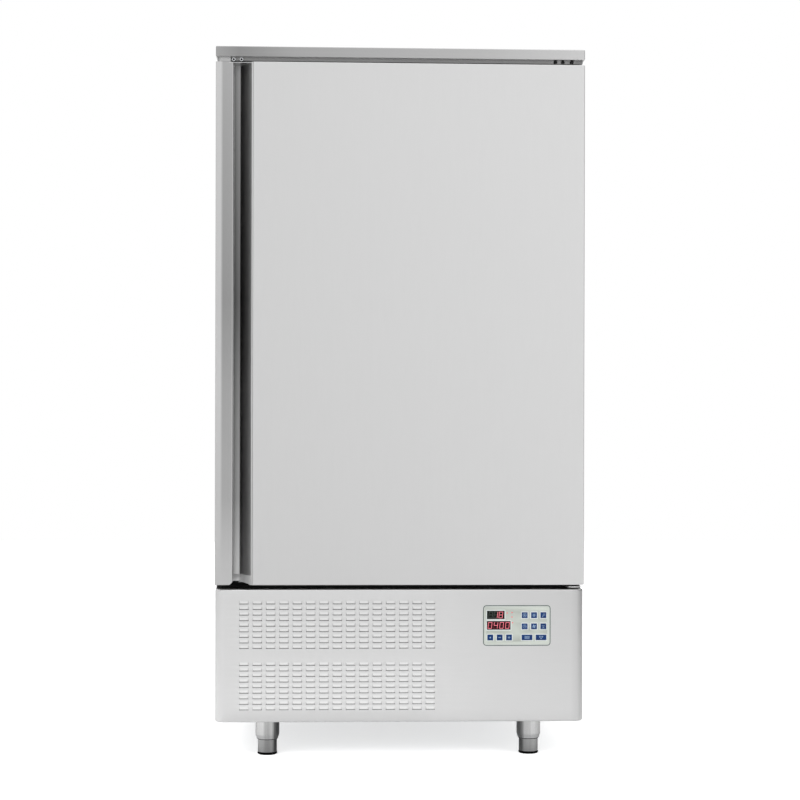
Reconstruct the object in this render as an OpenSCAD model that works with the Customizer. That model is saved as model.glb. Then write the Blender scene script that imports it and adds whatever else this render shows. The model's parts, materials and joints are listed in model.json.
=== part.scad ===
// Upright blast chiller: an insulated steel cabinet with ten pairs of tray
// runners, one full-height door with a pocket handle down its left edge, and
// a machine compartment under the cabinet behind a louvred front panel.
//
// Frame: the origin is on the floor under the middle of the cabinet, +X is
// to the right seen from the front, +Y to the back and +Z up.

/* [Cabinet] */
// Overall width
cabinet_w = 800; // [760:5:860]
// Overall depth, from the door's face to the rear panel
cabinet_d = 815; // [800:5:900]
// Thickness of the insulated walls
wall_t = 60; // [50:1:66]
// Thickness of the outer steel sheets
skin_t = 1.2; // [0.8:0.1:1.6]
// Thickness of the frame that the door seals against
frame_t = 3; // [2:0.5:4]
// Thickness of the inner liner
liner_t = 1; // [0.8:0.1:1.5]
// Radius of the liner's coved corners
liner_r = 14; // [8:1:20]
// Height of the top cap
cap_h = 22.5; // [18:0.5:30]
// How far the rear panels stand in from the cap's rear edge
rear_inset = 3; // [2.5:0.5:8]
// Gap between the door's top and the cap
cap_gap = 10.5; // [10:0.5:14]

/* [Door] */
// Height of the door
door_h = 1130; // [1080:5:1200]
// Thickness of the door
door_t = 60; // [56:1:66]
// Gap between the door's back and the cabinet frame, which the gasket fills
seal_gap = 8; // [7.5:0.5:9]
// Width of the gasket
gasket_w = 20; // [14:1:24]
// Distance of the hinge axis from the door's right side
hinge_inset = 20; // [18:1:22]
// Radius of the hinge pins
hinge_pin_r = 5; // [4:0.5:6]

/* [Handle] */
// Width of the grip lip at the door's left edge
lip_w = 38; // [32:1:44]
// Depth of the grip lip, front to back
lip_d = 12; // [10:1:14]
// Width of the pocket's mouth beside the lip
pocket_w = 40; // [34:1:46]
// Depth of the pocket
pocket_d = 40; // [34:1:44]
// How far the pocket's sloped wall leans in from its mouth to its floor
pocket_slope = 25; // [15:1:28]
// Thickness of the handle's folded sheet
handle_t = 1.5; // [1:0.1:2]

/* [Base] */
// Height of the front panel over the machine compartment
base_h = 288; // [284:2:340]
// Gap between the front panel and the door
base_gap = 9; // [8.5:0.5:12]
// Bend radius of the front panel's corners
panel_r = 20; // [12:1:26]
// Louvre columns
louvre_columns = 15; // [8:1:16]
// Louvre rows in each of the two blocks
louvre_rows = 9; // [5:1:9]
// Width of a louvre
louvre_w = 20.5; // [14:0.5:24]
// Height of a louvre
louvre_h = 8.4; // [6:0.2:10]
// How far a louvre stands out of the panel
louvre_out = 3; // [2:0.5:3]
// Distance between louvre columns
louvre_pitch_x = 28.8; // [27:0.1:30]
// Distance between louvre rows
louvre_pitch_z = 12; // [11.5:0.1:13]

/* [Feet] */
// Clear height under the base at rest
leg_h = 80; // [76:1:90]
// Outer radius of the leg sleeves
sleeve_r = 25.5; // [24.5:0.5:30]
// Outer radius of the screw-in foot
foot_r = 21; // [19:0.5:21.5]
// Distance of the legs from the cabinet's sides
leg_inset_x = 112; // [90:1:120]
// Distance of the legs from the front and the back
leg_inset_y = 80; // [76:1:100]

/* [Control panel] */
// Width of the control panel
control_w = 147; // [144:1:170]
// Height of the control panel
control_h = 88; // [84:1:100]
// Distance of the control panel's centre from the cabinet's right side
control_inset_x = 146; // [130:1:170]
// Distance of the control panel's centre below the front panel's top edge
control_drop = 79; // [70:1:100]
// Side of a square key
key_size = 12.4; // [10:0.2:13]
// Travel of a key
key_travel = 0.8; // [0.4:0.1:0.9]

/* [Chamber] */
// Number of tray levels
tray_levels = 10; // [6:1:10]
// Height of the lowest tray level over the chamber's floor
tray_floor = 55; // [45:1:70]
// Height of the chamber's roof over the highest tray level
tray_headroom = 110.5; // [90:0.5:140]
// Distance of a tray's edge from the chamber's side wall
tray_gap = 40; // [36:1:60]
// Depth of the tray runners
runner_d = 404; // [380:1:408]
// Depth from the cabinet frame to the fan panel
chamber_d = 434; // [430:1:440]
// Radius of the evaporator fans
evap_fan_r = 125; // [100:1:130]
// Height from one evaporator fan to the other
evap_fan_pitch = 490; // [470:5:500]

/* [Hidden] */
$fn = 48;

// Planes of the whole cabinet
side_x = cabinet_w / 2;
front_y = -cabinet_d / 2;
back_y = cabinet_d / 2;
door_back_y = front_y + door_t;
frame_y = door_back_y + seal_gap;
body_y = frame_y + frame_t;
rear_face_y = back_y - rear_inset;
rear_y = rear_face_y - skin_t;
base_z = leg_h;
base_top_z = base_z + base_h;
door_z0 = base_top_z + base_gap;
door_z1 = door_z0 + door_h;
cap_z0 = door_z1 + cap_gap;
cap_z1 = cap_z0 + cap_h;

// Clearances
seam = 0.5;
foam_gap = 0.3;
running = 0.05;
slip = 0.3;
cut = 1;

// Inside of the liner
chamber_x = side_x - wall_t;
chamber_z0 = door_z0 + wall_t;
chamber_z1 = cap_z0 - wall_t;
chamber_mid_z = (chamber_z0 + chamber_z1) / 2;
liner_back_y = back_y - wall_t;
fan_panel_y = frame_y + chamber_d;

// Evaporator coil and the tray under it, between the fan motors and the liner's back
evap_motor_r = 44;
evap_motor_l = 52;
motor_y0 = fan_panel_y + 42;
motor_y1 = motor_y0 + evap_motor_l;
coil_x = chamber_x - 90;
coil_y0 = motor_y1 + 37;
coil_y1 = liner_back_y - 12;
coil_z0 = chamber_z0 + 63;
coil_z1 = chamber_z1 - 57;
drip_x = coil_x + 30;
drip_y0 = coil_y0 - 12;
drip_y1 = liner_back_y - slip;
drip_z0 = chamber_z0 + 12;
drip_h = 22;

// The machine compartment's parts, set out from the cabinet's sides
elec_w = 240;
elec_d = 165;
elec_h = 200;
elec_x1 = side_x - 30;
elec_x0 = elec_x1 - elec_w;
cond_x0 = -side_x + 50;
cond_x1 = elec_x0 - 70;
comp_r = 92;
comp_x = side_x - 200;
recv_r = 45;
recv_h = 175;
recv_x = comp_x - 180;

// Holes through the floor of the insulated body, placed by shares of the drip tray's depth
pipe_hole_r = 22;
drain_r = 11;
pipe_share = 0.72;
drain_share = 0.28;
pipe_hole_x = -coil_x + 49;
drain_x = recv_x - 40;
service_y = drip_y0 + pipe_share * (drip_y1 - drip_y0);
drain_y = drip_y0 + drain_share * (drip_y1 - drip_y0);
liquid_x = pipe_hole_x + 11;
suction_x = pipe_hole_x - 11;
comp_y = service_y - comp_r - 40;
recv_y = comp_y - 118;

// Machine compartment
pan_t = 1.5;
pan_z0 = base_z + skin_t;
pan_z1 = pan_z0 + pan_t;
pan_lip = 25;
pan_front_y = front_y + louvre_out + panel_r + 1;
post_w = 40;
post_t = 3;
beam_drop = 12;

// Legs
leg_x = side_x - leg_inset_x;
leg_y = cabinet_d / 2 - leg_inset_y;
leg_plate_t = 3;
leg_plate_z = pan_z0 - leg_plate_t;
sleeve_t = 1.5;
sleeve_z = 35;
sleeve_taper = 9;
boss_z0 = sleeve_z + 10;
leg_plate_w = 70;
foot_gap = 0.6;
foot_engage = 25;
stud_r = 8;
stud_boss_r = 12;
pad_h = 8;

// Panel screws
screw_head_t = 2;

// Hinges
hinge_x = side_x - hinge_inset;
hinge_y = front_y + door_t / 2;
bracket_w = 34;
bracket_t = 3;
pin_l = 20;
bush_r = 10;
bush_flange = 1.5;
bracket_seat_d = 50;
foot_z1 = base_top_z + 5;
foot_z0 = foot_z1 - bracket_t;

// ---------------------------------------------------------------- helpers

// A box from its low corner to its high corner
module block(low, high) {
    translate(low) cube(high - low);
}

// A flat drawing in X and Z, as thick as y0 to y1
module slab(y0, y1) {
    translate([0, y1, 0]) rotate([90, 0, 0]) linear_extrude(y1 - y0) children();
}

// A flat drawing in X and Y, from z0 up to z1
module upright(z0, z1) {
    translate([0, 0, z0]) linear_extrude(z1 - z0) children();
}

// A rectangle between two corners
module area(low, high) {
    translate(low) square(high - low);
}

// A rectangle between two corners, with rounded corners
module rounded_area(low, high, r) {
    area([low.x + r, low.y], [high.x - r, high.y]);
    area([low.x, low.y + r], [high.x, high.y - r]);
    for (x = [low.x + r, high.x - r], y = [low.y + r, high.y - r])
        translate([x, y]) circle(r);
}

// A round bar from one point to another
module rod(from, to, r) {
    way = to - from;
    long = norm(way);
    translate(from)
        rotate([0, acos(way.z / long), atan2(way.y, way.x)])
            cylinder(r = r, h = long);
}

// A tube bent at each point of its route, with a brazed elbow at each bend
module pipe(route, r) {
    for (i = [0:len(route) - 2]) rod(route[i], route[i + 1], r);
    for (i = [1:len(route) - 2]) translate(route[i]) sphere(r + 0.8);
}

// A disc or tube along Y
module round_y(at, y0, y1, r, hole = 0) {
    translate([at.x, y1, at.y]) rotate([90, 0, 0]) difference() {
        cylinder(r = r, h = y1 - y0);
        if (hole > 0) translate([0, 0, -cut]) cylinder(r = hole, h = y1 - y0 + 2 * cut);
    }
}

// A panel screw with its head on a face that looks to +Y
module screw_y(x, y, z, shank) {
    round_y([x, z], y, y + screw_head_t, 4);
    round_y([x, z], y - shank, y, 1.9);
}

module mirrored_x() {
    children();
    mirror([1, 0, 0]) children();
}

// ------------------------------------------------------ insulated cabinet

module side_panel(side) {
    color("gainsboro")
        block([side > 0 ? side_x - skin_t : -side_x, body_y, base_z],
              [side > 0 ? side_x : -side_x + skin_t, rear_y, cap_z0]);
}

rear_screw_xs = [-side_x + 25, -side_x / 2, 0, side_x / 2, side_x - 25];
rear_panel_screw_zs = [door_z0 + 15, cap_z0 - 15];
rear_grille_screw_zs = [base_z + 15, door_z0 - 17];

module rear_screw_holes(zs) {
    for (x = rear_screw_xs, z = zs) round_y([x, z], rear_y - cut, rear_face_y + cut, 2);
}

module rear_panel() {
    color("lightgray") difference() {
        block([-side_x, rear_y, door_z0], [side_x, rear_face_y, cap_z0]);
        rear_screw_holes(rear_panel_screw_zs);
    }
}

// The machine compartment's rear cover, with two blocks of air slots
slot_rows = 9;
slot_pitch = 22;
slot_size = [220, 8];
slot_xs = [-side_x + 210, -side_x + 490];
slot_z0 = base_z + 56;
gland_x = side_x - 80;
gland_z = base_z + 60;
gland_r = 10;
gland_bore_r = 6.5;

module rear_grille() {
    color("lightgray") difference() {
        block([-side_x, rear_y, base_z], [side_x, rear_face_y, door_z0 - seam]);
        for (x = slot_xs, i = [0:slot_rows - 1])
            slab(rear_y - cut, rear_face_y + cut)
                translate([x, slot_z0 + i * slot_pitch]) square(slot_size, center = true);
        rear_screw_holes(rear_grille_screw_zs);
        round_y([gland_x, gland_z], rear_y - cut, rear_face_y + cut, gland_r + 0.2);
    }
}

// The folded cover over the cabinet, which also roofs the door
cap_return = 14;

module top_cap() {
    color("silver") {
        difference() {
            block([-side_x, front_y, cap_z0], [side_x, back_y, cap_z1]);
            block([-side_x + skin_t, front_y + skin_t, cap_z0 - cut],
                  [side_x - skin_t, back_y - skin_t, cap_z1 - skin_t]);
        }
        block([-side_x + skin_t, front_y + skin_t, cap_z0],
              [side_x - skin_t, front_y + cap_return, cap_z0 + skin_t]);
    }
}

module front_frame() {
    color("silver") slab(frame_y, body_y) difference() {
        union() {
            area([-side_x, door_z0], [side_x, cap_z0]);
            area([-side_x + skin_t + slip, door_z0], [side_x - skin_t - slip, cap_z1 - skin_t]);
        }
        chamber_outline(0);
    }
}

// The chamber's section across the cabinet, grown by a wall
module chamber_outline(grow) {
    rounded_area([-chamber_x - grow, chamber_z0 - grow],
                 [chamber_x + grow, chamber_z1 + grow], liner_r + grow);
}

module inner_liner() {
    color("gainsboro") difference() {
        slab(body_y, liner_back_y + liner_t) chamber_outline(liner_t);
        slab(body_y - cut, liner_back_y) chamber_outline(0);
        floor_holes(chamber_z0 - wall_t, chamber_z0 + wall_t);
    }
}

// Where the refrigerant pipes and the drain pass down through the floor
module floor_holes(z0, z1) {
    translate([pipe_hole_x, service_y, z0]) cylinder(r = pipe_hole_r, h = z1 - z0);
    translate([drain_x, drain_y, z0]) cylinder(r = drain_r + slip, h = z1 - z0);
}

module cabinet_foam() {
    color("khaki") difference() {
        block([-side_x + skin_t, body_y, door_z0 + skin_t],
              [side_x - skin_t, rear_y, cap_z1 - skin_t]);
        slab(body_y - cut, liner_back_y + liner_t + foam_gap) chamber_outline(liner_t + foam_gap);
        floor_holes(door_z0, chamber_z0);
        for (x = rear_screw_xs, z = rear_panel_screw_zs)
            round_y([x, z], rear_y - 10, rear_y + cut, 2);
    }
}

module deck_plate() {
    color("lightgray") difference() {
        block([-side_x + skin_t, body_y, door_z0], [side_x - skin_t, rear_y, door_z0 + skin_t]);
        floor_holes(door_z0 - cut, door_z0 + skin_t + cut);
    }
}

// ------------------------------------------------------ machine base

module base_pan() {
    x = side_x - skin_t - seam;
    y = rear_y - seam;
    color("lightgray") difference() {
        block([-x, pan_front_y, pan_z0], [x, y, pan_z1 + pan_lip]);
        block([-x + pan_t, pan_front_y + pan_t, pan_z1], [x - pan_t, y - pan_t, pan_z1 + pan_lip + cut]);
        for (sx = [-1, 1], sy = [-1, 1])
            translate([sx * leg_x, sy * leg_y, pan_z0 - cut]) cylinder(r = stud_r + 1, h = pan_t + 2 * cut);
        grille_screw_clearance();
    }
}

// Holes in the pan's rear lip and the rear posts, where the cover's screws bite
module grille_screw_clearance() {
    for (x = rear_screw_xs, z = rear_grille_screw_zs)
        round_y([x, z], rear_y - 10, rear_y + cut, 2);
}

// One angle post with its corner at the origin, its legs along +X and +Y
module post_angle() {
    upright(pan_z1, door_z0) {
        square([post_w, post_t]);
        square([post_t, post_w]);
    }
}

// Four posts and the crossmember that closes the gap under the door
module corner_posts() {
    x = side_x - skin_t - seam - pan_t;
    beam_x = x - post_w - slip;
    color("dimgray") difference() {
        union() {
            mirrored_x() {
                translate([-x, body_y + seam, 0]) post_angle();
                translate([-x, rear_y - seam - pan_t, 0]) mirror([0, 1, 0]) post_angle();
            }
            block([-beam_x, body_y + seam, base_top_z - beam_drop],
                [beam_x, body_y + seam + post_t, door_z0]);
        }
        grille_screw_clearance();
        block([hinge_x - bracket_w / 2 - slip, body_y - cut, foot_z0 - slip],
              [side_x, body_y + bracket_seat_d + slip, door_z0 + cut]);
    }
}

panel_y = front_y + louvre_out;
panel_flange = 22;
louvre_x0 = -side_x + 63;
louvre_z0 = base_top_z - 28.3;
louvre_block_drop = 132.6;
louvre_wall = 1;

function louvre_places() = [
    for (b = [0, 1], i = [0:louvre_columns - 1], j = [0:louvre_rows - 1])
        [louvre_x0 + i * louvre_pitch_x, louvre_z0 - b * louvre_block_drop - j * louvre_pitch_z]
];

// One louvre is a hood pressed out of the sheet, open along its lower edge
module louvre_hood() {
    root = skin_t / 2;
    translate([-louvre_w / 2, 0, 0]) rotate([90, 0, 90]) linear_extrude(louvre_w)
        polygon([[root, louvre_h / 2], [0, louvre_h / 2], [-louvre_out, -louvre_h / 5],
                 [-louvre_out, -louvre_h / 2], [root, -louvre_h / 2]]);
}

module louvre_void() {
    w = louvre_w - 2 * louvre_wall;
    top = louvre_h / 2 - 1.5 * louvre_wall;
    out = louvre_wall - louvre_out;
    translate([-w / 2, 0, 0]) rotate([90, 0, 90]) linear_extrude(w)
        polygon([[0, top], [out, -louvre_h / 4], [out, -louvre_h / 2 - cut],
                 [0, -louvre_h / 2 - cut], [0, -louvre_h / 2],
                 [skin_t + cut, -louvre_h / 2], [skin_t + cut, top]]);
}

// The panel's section seen from above: a sheet that wraps both front corners
module panel_section() {
    end_y = body_y - seam;
    area([-side_x + panel_r, panel_y], [side_x - panel_r, panel_y + skin_t]);
    mirrored_x() {
        area([side_x - skin_t, panel_y + panel_r], [side_x, end_y]);
        translate([side_x - panel_r, panel_y + panel_r]) intersection() {
            difference() {
                circle(panel_r);
                circle(panel_r - skin_t);
            }
            area([0, -panel_r], [panel_r, 0]);
        }
    }
}

module front_panel() {
    color("whitesmoke") difference() {
        union() {
            upright(base_z, base_top_z) panel_section();
            for (z = [base_z, base_top_z - skin_t])
                block([-side_x + panel_r, panel_y, z],
                    [side_x - panel_r, panel_y + panel_flange, z + skin_t]);
            for (p = louvre_places()) translate([p.x, panel_y, p.y]) louvre_hood();
        }
        for (p = louvre_places()) translate([p.x, panel_y, p.y]) louvre_void();
        slab(panel_y - cut, panel_y + skin_t + cut)
            control_rect(cutout_w, cutout_h);
    }
}

// ------------------------------------------------------ control panel

control_x = side_x - control_inset_x;
control_z = base_top_z - control_drop;
control_r = 7;
bezel_rim = 3;
bezel_ledge = 3;
bezel_t = 2;
overlay_t = 1.4;
board_t = 1.6;
skirt_d = 16;
skirt_t = 1.5;
cutout_w = control_w - 2 * bezel_rim - 2 * bezel_ledge;
cutout_h = control_h - 2 * bezel_rim - 2 * bezel_ledge;
skirt_w = cutout_w - 2 * slip;
skirt_h = cutout_h - 2 * slip;
key_pitch_x = 20.4;
key_pitch_z = 24.3;
key_proud = 0.5;
key_r = 0.8;
key_gap = 0.25;
key_depth = 5;
wide_key = [23, 11.6];
display_centres = [[-45.9, 22.9], [-39.5, 0.3]];
display_sizes = [[38.2, 18], [51.6, 18.6]];

// Name, centre and size of each key, from the middle of the control panel
left_keys_x = -57.8;
right_keys_x = 17;
top_keys_z = 22.3;
bottom_keys_z = -26;
square_key = [key_size, key_size];
KEYS = [
    ["key_set", [left_keys_x, bottom_keys_z], square_key],
    ["key_minus", [left_keys_x + key_pitch_x, bottom_keys_z], square_key],
    ["key_plus", [left_keys_x + 2 * key_pitch_x, bottom_keys_z], square_key],
    ["key_chill", [right_keys_x, top_keys_z], square_key],
    ["key_freeze", [right_keys_x + key_pitch_x, top_keys_z], square_key],
    ["key_probe", [right_keys_x + 2 * key_pitch_x, top_keys_z], square_key],
    ["key_timer", [right_keys_x, top_keys_z - key_pitch_z], square_key],
    ["key_fan", [right_keys_x + key_pitch_x, top_keys_z - key_pitch_z], square_key],
    ["key_defrost", [right_keys_x + 2 * key_pitch_x, top_keys_z - key_pitch_z], square_key],
    ["key_cycle", [right_keys_x + 5.2, bottom_keys_z], wide_key],
    ["key_start", [right_keys_x + 35.8, bottom_keys_z], wide_key]
];
function key_of(name) = KEYS[search([name], KEYS)[0]];

module control_rect(w, h) {
    translate([control_x, control_z]) square([w, h], center = true);
}

module control_rounded(w, h, r) {
    translate([control_x, control_z]) rounded_area([-w / 2, -h / 2], [w / 2, h / 2], r);
}

// The rim around the overlay, with a skirt that passes through the panel and holds the board
module control_bezel() {
    w = control_w - 2 * bezel_rim;
    h = control_h - 2 * bezel_rim;
    color("darkgray") {
        slab(panel_y - bezel_t, panel_y) difference() {
            control_rounded(control_w, control_h, control_r);
            control_rounded(w, h, control_r - bezel_rim);
        }
        slab(panel_y - bezel_t + overlay_t, panel_y) difference() {
            control_rounded(w + cut, h + cut, control_r - bezel_rim);
            control_rect(skirt_w - 2 * skirt_t, skirt_h - 2 * skirt_t);
        }
        slab(panel_y - cut / 2, panel_y + skirt_d) difference() {
            control_rect(skirt_w, skirt_h);
            control_rect(skirt_w - 2 * skirt_t, skirt_h - 2 * skirt_t);
        }
    }
}

module control_overlay() {
    w = control_w - 2 * bezel_rim - 2 * 0.1;
    h = control_h - 2 * bezel_rim - 2 * 0.1;
    color("honeydew") slab(panel_y - bezel_t, panel_y - bezel_t + overlay_t) difference() {
        control_rounded(w, h, control_r - bezel_rim);
        translate([control_x, control_z]) {
            for (k = KEYS) translate(k[1]) square(k[2] + [2 * key_gap, 2 * key_gap], center = true);
            for (i = [0, 1]) translate(display_centres[i]) square(display_sizes[i], center = true);
        }
    }
}

module display_windows() {
    color("black") slab(panel_y - bezel_t, panel_y + 1) translate([control_x, control_z])
        for (i = [0, 1]) translate(display_centres[i]) square(display_sizes[i], center = true);
}

// The circuit board, with one switch behind each key and a block behind each display
module control_board() {
    board_y = panel_y + skirt_d;
    switch_y = panel_y - bezel_t - key_proud + key_depth + key_travel + 0.1;
    color("darkgreen") {
        slab(board_y, board_y + board_t) control_rect(skirt_w, skirt_h);
        translate([control_x, 0, control_z]) {
            slab(switch_y, board_y)
                for (k = KEYS) translate(k[1]) square(6, center = true);
            slab(panel_y + 1, board_y)
                for (i = [0, 1])
                    translate(display_centres[i]) square(display_sizes[i] - [4, 4], center = true);
        }
    }
}

module key(name) {
    k = key_of(name);
    y = panel_y - bezel_t - key_proud;
    color("royalblue") translate([control_x, 0, control_z])
        slab(y, y + key_depth) translate(k[1]) rounded_area(-k[2] / 2, k[2] / 2, key_r);
}

// ------------------------------------------------------ legs and feet

// A stepped sleeve under a welded plate, with the boss that the foot screws into
module leg_sleeve() {
    bottom_r = foot_r + foot_gap + sleeve_t;
    difference() {
        union() {
            rotate_extrude() polygon([
                [bottom_r - sleeve_t, sleeve_z], [bottom_r, sleeve_z], [sleeve_r, sleeve_z + sleeve_taper],
                [sleeve_r, leg_plate_z + 1], [sleeve_r - sleeve_t, leg_plate_z + 1],
                [sleeve_r - sleeve_t, sleeve_z + sleeve_taper]
            ]);
            block([-leg_plate_w / 2, -leg_plate_w / 2, leg_plate_z],
                [leg_plate_w / 2, leg_plate_w / 2, pan_z0]);
            translate([0, 0, boss_z0]) cylinder(r = stud_boss_r, h = leg_plate_z - boss_z0 + 1);
        }
        translate([0, 0, boss_z0 - cut]) cylinder(r = stud_r + slip, h = leg_h);
    }
}

module leg_sleeves() {
    color("silver") for (sx = [-1, 1], sy = [-1, 1])
        translate([sx * leg_x, sy * leg_y, 0]) leg_sleeve();
}

// A screw-in foot: a steel cup with a stud, standing on a plastic pad
module foot(sx, sy) {
    web_z = pad_h + 8;
    translate([sx * leg_x, sy * leg_y, 0]) {
        color("silver") rotate_extrude() union() {
            area([foot_r - 2, pad_h], [foot_r, sleeve_z + foot_engage]);
            area([0, web_z], [foot_r - 1, web_z + 4]);
            area([0, web_z + 3], [stud_r, leg_plate_z - 2]);
        }
        color("black") rotate_extrude() polygon([
            [0, 0], [foot_r - 1.2, 0], [foot_r + 1, 2.5], [foot_r + 1, pad_h - 2], [foot_r, pad_h],
            [foot_r - 2 - slip, pad_h], [foot_r - 2 - slip, web_z - slip], [0, web_z - slip]
        ]);
    }
}

// ------------------------------------------------------ hinges and screws

// The pins turn in the door's bushes; each bracket is screwed to the cabinet
module hinge_brackets() {
    plate_z1 = cap_z0 - bracket_gap;
    plate_z0 = plate_z1 - bracket_t;
    x0 = hinge_x - bracket_w / 2;
    x1 = hinge_x + bracket_w / 2;
    leg_x0 = x0 - bracket_leg_w;
    color("silver") {
        difference() {
            union() {
                bracket_plate(plate_z0, plate_z1, frame_y);
                block([leg_x0, frame_y - bracket_t, plate_z0 - bracket_lap], [x1, frame_y, cap_z0]);
                translate([hinge_x, hinge_y, door_z1 - pin_l])
                    cylinder(r = hinge_pin_r, h = plate_z0 - door_z1 + pin_l + 1);
            }
            for (x = hinge_screw_xs)
                round_y([x, hinge_screw_z], frame_y - bracket_t - slip, frame_y + cut,
                    hinge_screw_r + 0.1);
        }
        union() {
            bracket_plate(foot_z0, foot_z1, body_y);
            block([x0, body_y - seam, foot_z0], [x1, body_y + bracket_seat_d, door_z0]);
            translate([hinge_x, hinge_y, foot_z1 - 1])
                cylinder(r = hinge_pin_r, h = door_z0 + pin_l - foot_z1 + 1);
        }
    }
}

bracket_gap = 2.5;
bracket_leg_w = 34;
bracket_lap = 1.2;
hinge_screw_z = cap_z0 - 4.6;
hinge_screw_xs = [hinge_x - bracket_w / 2 - 0.76 * bracket_leg_w,
    hinge_x - bracket_w / 2 - 0.26 * bracket_leg_w];
hinge_screw_r = 1.6;
hinge_screw_head_r = 3.1;
hinge_screw_head_t = 1.6;
hinge_screw_seat = 0.5;

module bracket_plate(z0, z1, y1) {
    upright(z0, z1) {
        area([hinge_x - bracket_w / 2, hinge_y], [hinge_x + bracket_w / 2, y1]);
        translate([hinge_x, hinge_y]) circle(bracket_w / 2);
    }
}

module panel_screws() {
    color("gray") {
        for (x = rear_screw_xs, z = concat(rear_panel_screw_zs, rear_grille_screw_zs))
            screw_y(x, rear_face_y, z, 6);
        for (x = hinge_screw_xs) {
            round_y([x, hinge_screw_z], frame_y - bracket_t - hinge_screw_head_t, frame_y - bracket_t,
                hinge_screw_head_r);
            round_y([x, hinge_screw_z], frame_y - bracket_t - hinge_screw_seat, frame_y, hinge_screw_r);
        }
    }
}

// ------------------------------------------------------ chamber fittings

rack_y0 = body_y + 8;
rack_post_w = 22;
rack_post_in = 50;
rack_post_ys = [rack_y0 + rack_post_in, rack_y0 + runner_d - rack_post_in - rack_post_w];
rack_peg_in = 40;
rack_peg_r = 8;
rack_seat = 0.2;
rack_z0 = chamber_z0 + liner_r + 2;
rail_t = 1.5;
rail_shelf = 25;
rail_drop = 12;
rail_x = chamber_x - tray_gap + 6;
tray_z0 = chamber_z0 + tray_floor;
tray_pitch = (chamber_z1 - tray_headroom - tray_z0) / (tray_levels - 1);
rack_z1 = chamber_z1 - tray_headroom + 40;

// One side's runners, each hung on two posts that stand off the liner on pegs
module tray_rack() {
    for (y = rack_post_ys) {
        block([rail_x + rack_seat, y, rack_z0], [rail_x + rack_post_w, y + rack_post_w, rack_z1]);
        for (z = [rack_z0 + rack_peg_in, (rack_z0 + rack_z1) / 2, rack_z1 - rack_peg_in])
            rod([rail_x + rack_post_w - 1, y + rack_post_w / 2, z],
                [chamber_x, y + rack_post_w / 2, z], rack_peg_r);
    }
    for (i = [0:tray_levels - 1]) {
        z = tray_z0 + i * tray_pitch;
        block([rail_x - rail_shelf, rack_y0, z], [rail_x, rack_y0 + runner_d, z + rail_t]);
        block([rail_x - rail_t, rack_y0, z - rail_drop], [rail_x, rack_y0 + runner_d, z + rail_t]);
    }
}

module tray_racks() {
    color("silver") mirrored_x() tray_rack();
}

fan_sheet_t = 1.2;
fan_half_x = chamber_x - 20;
fan_z0 = chamber_z0 + 18;
fan_z1 = chamber_z1 - 18;
fan_return = 60;
fan_tab_y = fan_panel_y + fan_return / 2;
fan_tab_h = 24;
fan_tab_in = 60;
fan_clear = 4;
fan_zs = [chamber_mid_z - evap_fan_pitch / 2, chamber_mid_z + evap_fan_pitch / 2];

// The air baffle in front of the evaporator, with an opening for each fan
module fan_panel() {
    back = fan_panel_y + fan_return;
    color("gainsboro") difference() {
        union() {
            block([-fan_half_x, fan_panel_y, fan_z0], [fan_half_x, fan_panel_y + fan_sheet_t, fan_z1]);
            mirrored_x() {
                block([fan_half_x - fan_sheet_t, fan_panel_y, fan_z0], [fan_half_x, back, fan_z1]);
                for (z = [fan_z0 + fan_tab_in, chamber_mid_z, fan_z1 - fan_tab_in])
                    block([fan_half_x - 1, fan_tab_y, z - fan_tab_h / 2],
                        [chamber_x, fan_tab_y + fan_sheet_t, z + fan_tab_h / 2]);
            }
        }
        for (z = fan_zs)
            round_y([0, z], fan_panel_y - cut, fan_panel_y + fan_sheet_t + cut, evap_fan_r + fan_clear);
    }
}

motor_arm_r = 5;

// A fan motor on bent arms that reach out to the sheet around the fan
module fan_motor(at, y0, y1, r, angles, reach, arm_r, tip_y) {
    elbow_y = y1 - 2 * arm_r;
    hub = [at.x, elbow_y, at.y];
    round_y(at, y0, y1, r);
    for (a = angles) {
        way = [cos(a), 0, sin(a)];
        pipe([hub + 0.7 * r * way, hub + reach * way, hub + reach * way + [0, tip_y - elbow_y, 0]], arm_r);
    }
}

module evap_fan_motors() {
    color("dimgray") for (z = fan_zs)
        fan_motor([0, z], motor_y0, motor_y1, evap_motor_r, [90, 210, 330],
                  evap_fan_r + 12, motor_arm_r, fan_panel_y + fan_sheet_t);
}

// Hub, shaft stub and pitched blades, turning about a line along Y
module fan_rotor(at, y0, y1, r, motor_y) {
    hub_r = r * 0.3;
    translate([at.x, 0, at.y]) intersection() {
        union() {
            round_y([0, 0], y0, y1, hub_r);
            round_y([0, 0], y1 - 1, motor_y - slip, hub_r * 0.35);
            for (a = [0:72:288]) rotate([0, a, 0])
                translate([0, (y0 + y1) / 2, r * 0.62]) rotate([0, 0, 28])
                    cube([r * 0.62, 2.4, r * 0.8], center = true);
        }
        round_y([0, 0], y0 - 20, motor_y, r);
    }
}

module evap_fan(z) {
    color("black") fan_rotor([0, z], fan_panel_y + 6, fan_panel_y + 34, evap_fan_r - 1, motor_y0);
}

guard_wire = 1.6;
guard_y = fan_panel_y - 10;
guard_rings = [0.28, 0.46, 0.64, 0.82, 1];

// Concentric wire rings on crossed wires, with feet that stand on the fan panel
module fan_guard(z) {
    reach = evap_fan_r + 8;
    translate([0, guard_y, z]) {
        rotate([90, 0, 0]) for (k = guard_rings)
            rotate_extrude() translate([reach * k, 0]) circle(guard_wire, $fn = 16);
        for (a = [45, 135, 225, 315]) {
            tip = [reach * cos(a), 1.2, reach * sin(a)];
            rod([0, 1.2, 0] + tip * 0.05, tip, guard_wire);
            rod(tip, [tip.x, fan_panel_y - guard_y, tip.z], guard_wire * 1.2);
        }
    }
    round_y([0, z], guard_y - 1, guard_y + 3, 16);
}

module fan_guards() {
    color("silver") for (z = fan_zs) fan_guard(z);
}

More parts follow.
